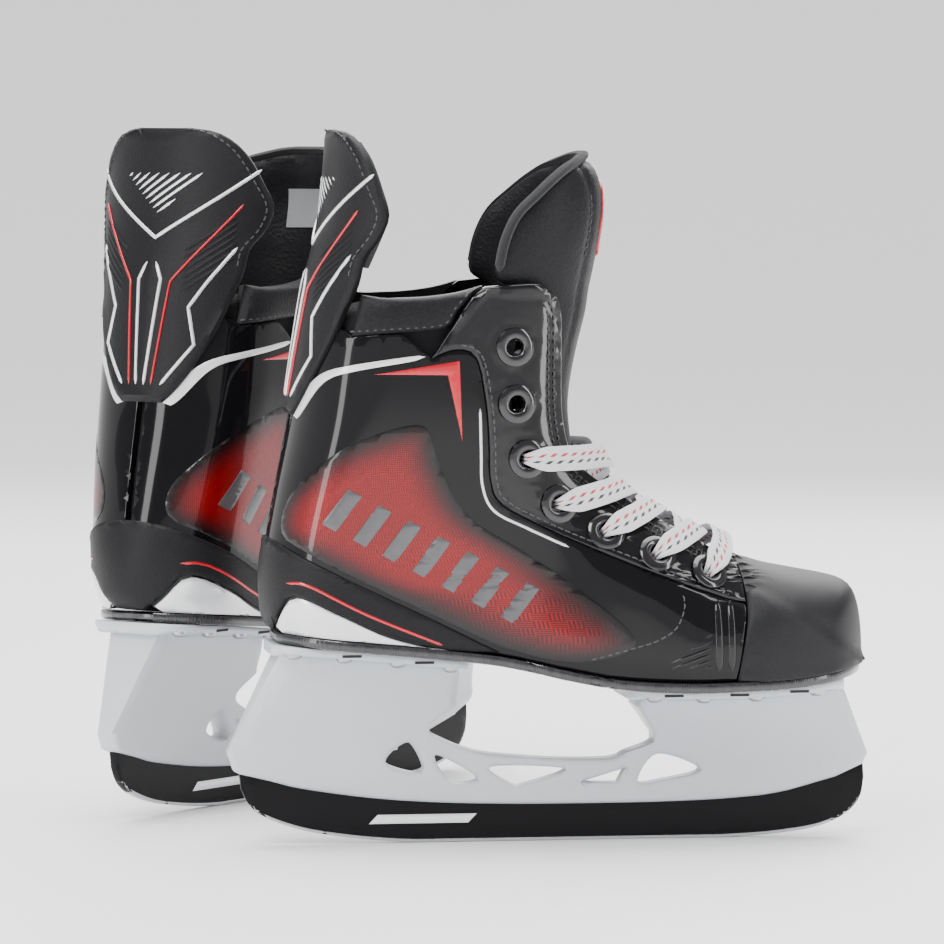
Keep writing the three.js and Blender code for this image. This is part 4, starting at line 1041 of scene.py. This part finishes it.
def build_tongue():
    outline = tongue_outline()

    def crown(t, w, d):
        z = high_z(w)
        thick = mix(2.0, 3.4, smooth((z - 185) / 20))
        quilting = 0.9 * np.exp(-(((np.abs(t) - 24) / 1.6) ** 2)) * smooth((z - 150) / 30)
        return thick * rounding(d / 10) - quilting

    def top(t, w, d):
        p, n = tongue(t, w)
        return p + n * (crown(t, w, d) - TONGUE_SEAT)[:, None]

    def low(t, w, d):
        p, n = tongue(t, w)
        return p - n * (TONGUE_SEAT + TONGUE_BACKING * rounding(d / 9))[:, None]

    verts, faces, attributes = shell(outline, top, low, spacing=2.8, rim=1.4)
    blend = ("tongue_flap", (0.0, 0.0, 184.0), (0.0, 0.0, 196.0))
    make("tongue_pad", verts, faces, LEATHER, "tongue_black", attributes=attributes, blend=blend,
         replaces=["tongue", "tongue_top"], padded=0.6, sharp=70)
    above = outline[high_z(outline[:, 1]) > 194]
    border = above * [0.975, 1]
    bead("tongue_binding", [border], FELT, "tongue_black", width=3.4, height=2.6, surface=tongue, lift=-1.4,
         body="tongue_flap", taper=1)
    window = curve([(0, high_w(199)), (9, high_w(201)), (12, high_w(212)), (7, high_w(222)),
                    (0, high_w(224)),
                    (-7, high_w(222)), (-12, high_w(212)), (-9, high_w(201))], 1.6, closed=True)
    patch("tongue_mesh_window", window, MESH, "tongue_black", surface=tongue, lift=0.75, thick=0.9,
          rim=0.35, spacing=2.2, body="tongue_flap")
    bead("tongue_window_welt", [np.vstack([window, window[:2]])], RED_LINE, "tongue_black", width=1.2,
         height=0.6, surface=tongue, lift=0.45, body="tongue_flap", taper=0)
    lines = [np.stack([np.full(24, t), np.linspace(high_w(198), high_w(222), 24)], 1) for t in (-24, 24)]
    stitches("tongue_stitching", lines, THREAD, surface=tongue, lift=-0.2, body="tongue_flap")
    label = straight([(-14, high_w(204)), (14, high_w(204)), (14, high_w(220)), (-14, high_w(220))], 2)
    patch("tongue_inner_label", label, LABEL, "tongue_black", surface=tongue, lift=-5.6, thick=1.2, rim=0.3,
          spacing=2.6, body="tongue_flap")


# ---- Tendon guard and collar ----
GUARD_EDGE = [
    (17.6, 146), (22.5, 157), (29, 171), (33.5, 182), (36.8, 190), (39, 199), (43.8, 206), (46.4, 213.5),
    (43.8, 222), (40, 233), (36, 239.6), (32.9, 241.6),
]


def guard_flat(points, side=1):
    p = np.array(points, float)
    share = np.clip(1 - (p[:, 0] - guard_back(p[:, 1])) / 29, -1, 1)
    return np.stack([side * np.arccos(share) * GUARD_SCALE, p[:, 1]], 1)


def guard_outline(shrink=0.0):
    half = guard_flat(curve(GUARD_EDGE, 2))
    half[:, 0] = np.maximum(1.5, half[:, 0] - shrink)
    return round_heel(half)


GUARD_BLEND = ("tendon_guard_assembly", (0.0, 0.0, 183.0), (0.0, 0.0, 190.0))


def build_guard():
    def ribs(s, z, d):
        """A raised border and a shallow spine."""
        border = 0.5 * np.exp(-(((d - 2.2) / 0.9) ** 2))
        spine = 0.5 * np.exp(-((s / 3.0) ** 2)) * smooth((z - 150) / 10) * (1 - smooth((z - 190) / 12))
        return border + spine

    patch("tendon_guard_moulding", guard_outline(), MATTE, "overlay_black", surface=guard, lift=1.5,
          thick=2.6, rim=1.0, spacing=2.2, relief=ribs, blend=GUARD_BLEND,
          replaces=["tendon_guard", "tendon_guard_base"])
    inner = guard_flat([(38, 196), (42.2, 205.5), (44.8, 213.5), (42.4, 222), (38.8, 232), (35.4, 238)])
    inner = curve(inner, 2.4)
    patch("tendon_guard_pad", round_heel(inner), FELT, "felt", surface=guard, lift=-1.4, thick=3.2, rim=1.3,
          spacing=2.8, body="tendon_guard_assembly", replaces=["tendon_pad"], padded=0.4)
    def mirrored(*lines):
        return [rear([(side * s, z) for s, z in line]) for line in lines for side in (-1, 1)]

    silver = mirrored([(1.8, 194.6), (4.6, 188.5), (1.6, 152)],
                      [(28, 200), (15.4, 179), (18.2, 166), (8, 152)])
    silver.append(rear([(-33, 227), (0, 203), (33, 227)]))
    red = mirrored([(29, 215), (8.4, 188), (4.6, 152)])
    for name, lines, finish, slot, wide in (
        ("guard_silver_lines", silver, SILVER, "support_silver", 1.3),
        ("guard_red_lines", red, RED_LINE, "overlay_black", 1.0),
    ):
        lines = [straight(line, 1.6, False) for line in lines]
        bead(name, lines, finish, slot, width=wide, height=0.5, surface=guard, lift=1.7, blend=GUARD_BLEND)
    chevron = rear([(-17, 226), (17, 226), (0, 211)])
    bead("guard_hatching", hatch(chevron, 0.6, 2.3), SILVER, "support_silver", width=1.0, height=0.25,
         surface=guard, lift=1.5, body="tendon_guard_assembly")
    diagonal = [
        rear([(side * 12, z), (side * 28, z + 13)]) for side in (-1, 1) for z in np.arange(184, 200, 2.4)
    ]
    diagonal = [straight(line, 1.8, False) for line in diagonal]
    bead("guard_ribbing", diagonal, MATTE, "overlay_black", width=1.1, height=0.4, surface=guard, lift=1.5,
         blend=GUARD_BLEND)
    border = guard_outline(3.8)
    border = border[(border[:, 1] > 192)]
    stitches("guard_stitching", [border[border[:, 0] > 2], border[border[:, 0] < -2]], THREAD,
             surface=guard, lift=1.7, body="tendon_guard_assembly")


def build_collar():
    outline = np.vstack([curve(COLLAR_SEAM, 2), curve(COLLAR_TOP, 2)])

    def roll(s, w, d):
        return 1.5 * rounding(d / 5)

    both("collar_padding", lambda side: flat(outline, side), LEATHER, "tongue_black", lift=0.2, thick=6.4,
         rim=1.5, spacing=2.2, relief=roll, replaces=["HALF_collar_pad"], padded=0.5)
    line = inset(curve(COLLAR_SEAM, 1.6), 1.6)
    for half, side in (("lateral", -1), ("medial", 1)):
        stitches(f"{half}_collar_stitching", [flat(line, side)], THREAD, lift=1.0)


# ---- Laces ----
LACE_WIDTH = 8.4
LACE_THICKNESS = 1.2
LACE_OVER = 3.6
LACE_UNDER = -6.6
CROSS_LOW = -4.2  # the lower and the upper of two laces that cross
CROSS_HIGH = -2.4
FIRST_LACED = 2


def lace_station(number, ridge, share, side, offset, turned, away):
    """A point between an eyelet and the ridge, with the way that the lace's flat faces there."""
    at = flat([mix(EYELETS[number], ridge, share)], side)
    ahead = flat([mix(EYELETS[number], ridge, share + 0.05)], side)
    p, n = boot(*at.T)
    q, _ = boot(*ahead.T)
    along = (q - p)[0] / np.linalg.norm(q - p) * (-1 if away else 1)
    facing = n[0] * math.cos(turned) + along * math.sin(turned)
    return [*(p[0] + n[0] * offset), *(facing * 8)]


def ridge_station(ridge, offset):
    facing = np.array([0.45, 0, 0.89])
    p = np.array([ridge[0], 3 * smooth((ridge[0] - 105) / 100), ridge[1]])
    return [*(p + facing * offset), *(facing * 8)]


def lace_over(number, ridge, side):
    stops = ((0.85, LACE_OVER - 0.6, 0), (0.55, LACE_OVER, 0), (0.28, LACE_OVER, 0),
             (0.09, LACE_OVER - 0.2, 0.35),
             (0.0, 1.6, 1.1), (0.0, -2.6, 1.5))
    return [lace_station(number, ridge, share, side, offset, turned, True) for share, offset,
            turned in stops]


def lace_under(number, ridge, side):
    stops = ((0.0, -3.4, 1.5), (0.03, LACE_UNDER + 1, 1.0), (0.2, LACE_UNDER - 0.4, 0),
             (0.5, LACE_UNDER, 0), (0.75, -5.0, 0))
    return [
        lace_station(number, ridge, share, side, offset, turned, False) for share, offset, turned in stops
    ]


def lace_mesh(runs):
    across = np.linspace(-1, 1, 9)
    body = np.sqrt(1 - across**8) * LACE_THICKNESS / 2
    verts, faces, pattern, at = [], [], [], 0
    k = 2 * len(across)
    for number, run in enumerate(runs):
        path = curve(np.array(run), 1.1)
        points, facing = path[:, :3], path[:, 3:]
        facing = facing / np.linalg.norm(facing, axis=1)[:, None]
        ahead = np.gradient(points, axis=0)
        ahead /= np.linalg.norm(ahead, axis=1)[:, None]
        side = np.cross(ahead, facing)
        side /= np.linalg.norm(side, axis=1)[:, None]
        up = np.cross(side, ahead)
        length = np.concatenate([[0], np.cumsum(np.linalg.norm(np.diff(points, axis=0), axis=1))])
        spread = mix(0.42, 1.0, smooth((np.minimum(length, length[-1] - length) - 2) / 10))
        for i in range(len(points)):
            pucker = 0.9 * (1 - spread[i]) * np.cos(across * 3 * math.pi) + 0.3 * across**2
            ripple = 0.12 * math.sin(length[i] * 0.9 + number)
            x = across * spread[i] * LACE_WIDTH / 2
            for sign, order in ((1, slice(None)), (-1, slice(None, None, -1))):
                height = (pucker + ripple + sign * body)[order]
                verts.append(points[i] + x[order][:, None] * side[i] + height[:, None] * up[i])
                pattern += [(value * MM, length[i] * MM, 0) for value in (across * LACE_WIDTH / 2)[order]]
        for i in range(len(points) - 1):
            for j in range(k):
                a, b = at + i * k + j, at + i * k + (j + 1) % k
                faces.append((a, b, b + k, a + k))
        last = at + (len(points) - 1) * k
        faces.append(tuple(range(at + k - 1, at - 1, -1)))
        faces.append(tuple(range(last, last + k)))
        at += len(points) * k
    return np.vstack(verts), faces, {"flat": np.array(pattern)}


def build_laces():
    last = len(EYELETS) - 1
    ridge = EYELET_RIDGE[last]
    runs = [
        lace_over(last, ridge, -1)[::-1] + [ridge_station(ridge, LACE_OVER)] + lace_over(last, ridge, 1)
    ]
    for number in range(last, FIRST_LACED, -1):
        middle = (EYELET_RIDGE[number] + EYELET_RIDGE[number - 1]) / 2
        for side in (-1, 1):
            top = ridge_station(middle, CROSS_LOW if side < 0 else CROSS_HIGH)
            runs.append(lace_under(number, middle, side) + [top] + lace_over(number - 1, middle, -side))
    verts, faces, attributes = lace_mesh(runs)
    make("laces", verts, faces, LACE, "lace_white", attributes=attributes, replaces=["lace"], sharp=60)


# ---- Graphics and stitching on the shell ----
def build_graphics():
    weave = curve([(13, 107), (16, 120), (28, 133), (44, 141), (59, 143), (64, 130), (74, 113), (94, 100),
                   (114, 86),
                   (130, 70), (112, 63.6), (88, 68), (62, 80), (36, 92.6), (20, 101)], 2.4, closed=True)
    stripe = curve([(18.4, 145), (26, 157.4), (36, 161.6), (56, 165.2), (57, 166.8), (36, 163.8), (25, 160),
                    (18.6, 150)], 1.8,
                   closed=True)
    corner = straight([(42, 160.6), (70.6, 165), (71.6, 138), (66.6, 160.2)], 1.6)
    bars = [straight([(x, z), (x + 4.6, z - 2.6), (x + 13.2, z + 9.2), (x + 8.6, z + 11.8)], 1.8)
            for x, z in zip(np.linspace(25, 85, 7), np.linspace(110.6, 79, 7))]
    for name, outline, finish, slot, lift in (
        ("red_weave", weave, RED_WEAVE, "shell_gloss", 0.0),
        ("silver_stripe", stripe, WHITE_LINE, "support_silver", 0.1),
        ("red_stripe", corner, RED_LINE, "shell_gloss", 0.12),
    ):
        both(name, lambda side, o=outline: flat(o, side), finish, slot, lift=lift, thick=0.5, rim=0.15,
             spacing=3)
    for number, outline in enumerate(bars):
        both(f"grey_bar_{number}", lambda side, o=outline: flat(o, side), SHAPE_GREY, "shell_gloss",
             lift=0.15, thick=0.5, rim=0.2, spacing=3)
    piping = curve([(77.5, 149), (78, 134), (78.6, 123), (82.6, 114.6), (94, 108.6), (108, 102.2)], 1.6)
    low_seam = curve([(146, 87), (146.6, 82), (143.6, 75), (137.7, 71), (129.7, 68.4), (114, 64)], 1.6)
    for half, side in (("lateral", -1), ("medial", 1)):
        bead(f"{half}_white_piping", [flat(piping, side)], WHITE_LINE, "support_silver", width=0.95,
             height=0.4, lift=-0.2)
        red = curve([(66, 69.6), (40, 80.2), (21.6, 89.6), (14.6, 90.4)], 1.6)
        bead(f"{half}_counter_red_line", [flat(red, side)], RED_LINE, "overlay_black", width=1.1,
             height=0.35, lift=0.9)
        rows = [
            inset(curve(EYESTAY_SEAM[1:], 1.6), 2.0), inset(curve(FACING_EDGE[3:], 1.6), -3.2),
            inset(curve(FACING_EDGE[3:], 1.6), -5.2),
        ]
        stitches(f"{half}_stitching", [flat(row, side) for row in rows], THREAD, lift=0.85)
        stitches(f"{half}_low_stitching", [flat(low_seam, side)], THREAD, lift=-0.1)
        ribs = hatch(np.array([(139, 61), (156.5, 74), (156.5, 61)]), 0.35, 2.0)
        facing = curve(FACING_EDGE[9:], 1.6)
        band = np.vstack([inset(facing, -1.6), inset(facing, -6.4)[::-1]])
        bead(f"{half}_facing_ribs", [flat(line, side) for line in hatch(band, 1.0, 1.7)], SATIN,
             "eyestay_black", width=0.9,
             height=0.4, lift=0.7, taper=1)
        straps = [np.array([(x, z) for z in np.linspace(60, 84, 14)]) for x in (158.5, 163)]
        bead(f"{half}_ball_ribs", [flat(line, side) for line in ribs], SATIN, "shell_gloss", width=1.1,
             height=0.35, lift=-0.2)
        bead(f"{half}_ball_straps", [flat(line, side) for line in straps], SATIN, "shell_gloss", width=2.6,
             height=0.5, lift=-0.2)


def finish_nodes():
    """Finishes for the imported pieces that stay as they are."""
    for side in SIDES:
        for node, material in (("insole", FELT), ("rear_blade_bolt", RIVET), ("front_blade_bolt", RIVET)):
            for slot in bpy.data.objects[f"{side}_{node}"].material_slots:
                slot.material = material


def build_all():
    build_blade()
    build_holder()
    build_outsole()
    build_shell()
    build_toe()
    build_eyelets()
    build_tongue()
    build_guard()
    build_collar()
    build_laces()
    build_graphics()
    finish_nodes()


build_all()

# ---- Stage ----
FOCAL = 236.4
CAMERA_FAR = 2100.0
CAMERA_HIGH = 255.6
SWING = math.radians(8)
PITCH = math.radians(3.544)
WORLD = 0.42
SUN = 3.0
FLOOR_FLAT = 5.0  # metres; beyond this the pale floor sweeps up by FLOOR_RISE all round
FLOOR_RISE = 1.7
LIGHTS = (  # name, place, width, height, watts
    ("overhead", (0.1, 0.3, 1.7), 2.0, 1.2, 30),
    ("key", (-0.8, -1.2, 1.5), 0.8, 0.8, 26),
    ("left_strip", (-0.95, -0.55, 0.5), 0.16, 1.3, 7),
    ("right_strip", (1.0, -0.75, 0.5), 0.16, 1.3, 7),
    ("rim", (0.5, 1.3, 0.9), 1.2, 0.7, 16),
)


def build_stage():
    scene = bpy.context.scene
    forward = np.array([math.sin(SWING), math.cos(SWING)])
    sideways = np.array([math.cos(SWING), -math.sin(SWING)])
    spot = np.array([107.5, 0]) - 27.7 * sideways - CAMERA_FAR * forward
    camera = bpy.data.objects.new("camera", bpy.data.cameras.new("camera"))
    camera.data.lens = FOCAL
    camera.data.sensor_width = 36
    camera.data.clip_start, camera.data.clip_end = 0.05, 50
    camera.location = FRAMES["right"] @ Vector((spot[0], spot[1], CAMERA_HIGH))
    camera.rotation_euler = (math.pi / 2 - PITCH, 0, -SWING)
    scene.collection.objects.link(camera)
    scene.camera = camera
    mesh = bpy.data.meshes.new("floor")
    rings = [(r, FLOOR_RISE * smooth((r - FLOOR_FLAT) / FLOOR_FLAT)) for r in np.linspace(0.01,
        2 * FLOOR_FLAT, 40)]
    angles = np.linspace(0, 2 * math.pi, 96, endpoint=False)
    verts = [(r * math.cos(a), r * math.sin(a), float(h)) for r, h in rings for a in angles]
    count = len(angles)
    faces = [(i * count + j, i * count + (j + 1) % count, (i + 1) * count + (j + 1) % count,
              (i + 1) * count + j)
             for i in range(len(rings) - 1) for j in range(count)]
    faces.append(tuple(range(count))[::-1])
    mesh.from_pydata(verts, [], [f[::-1] for f in faces])
    mesh.polygons.foreach_set("use_smooth", [True] * len(mesh.polygons))
    mesh.materials.append(node_material("floor", (0.93, 0.93, 0.935), (0.95, 0.95, 0.95), 0.6, scale=3,
                                        bump=0))
    floor = bpy.data.objects.new("floor", mesh)
    scene.collection.objects.link(floor)
    world = bpy.data.worlds.new("studio")
    scene.world = world
    world.use_nodes = True
    world.node_tree.nodes["Background"].inputs["Color"].default_value = (1, 1, 1, 1)
    world.node_tree.nodes["Background"].inputs["Strength"].default_value = WORLD
    for name, place, size, tall, power in LIGHTS:
        light = bpy.data.objects.new(name, bpy.data.lights.new(name, "AREA"))
        light.data.energy, light.data.shape = power, "RECTANGLE"
        light.data.size, light.data.size_y = size, tall
        light.location = place
        light.rotation_euler = (Vector((0, 0, 0.1)) - Vector(place)).to_track_quat("-Z", "Y").to_euler()
        scene.collection.objects.link(light)


def build_sun():
    sun = bpy.data.objects.new("sun", bpy.data.lights.new("sun", "SUN"))
    sun.data.energy = SUN
    sun.data.angle = math.radians(70)
    sun.rotation_euler = (math.radians(-14), 0, 0)
    bpy.context.scene.collection.objects.link(sun)


build_stage()
build_sun()
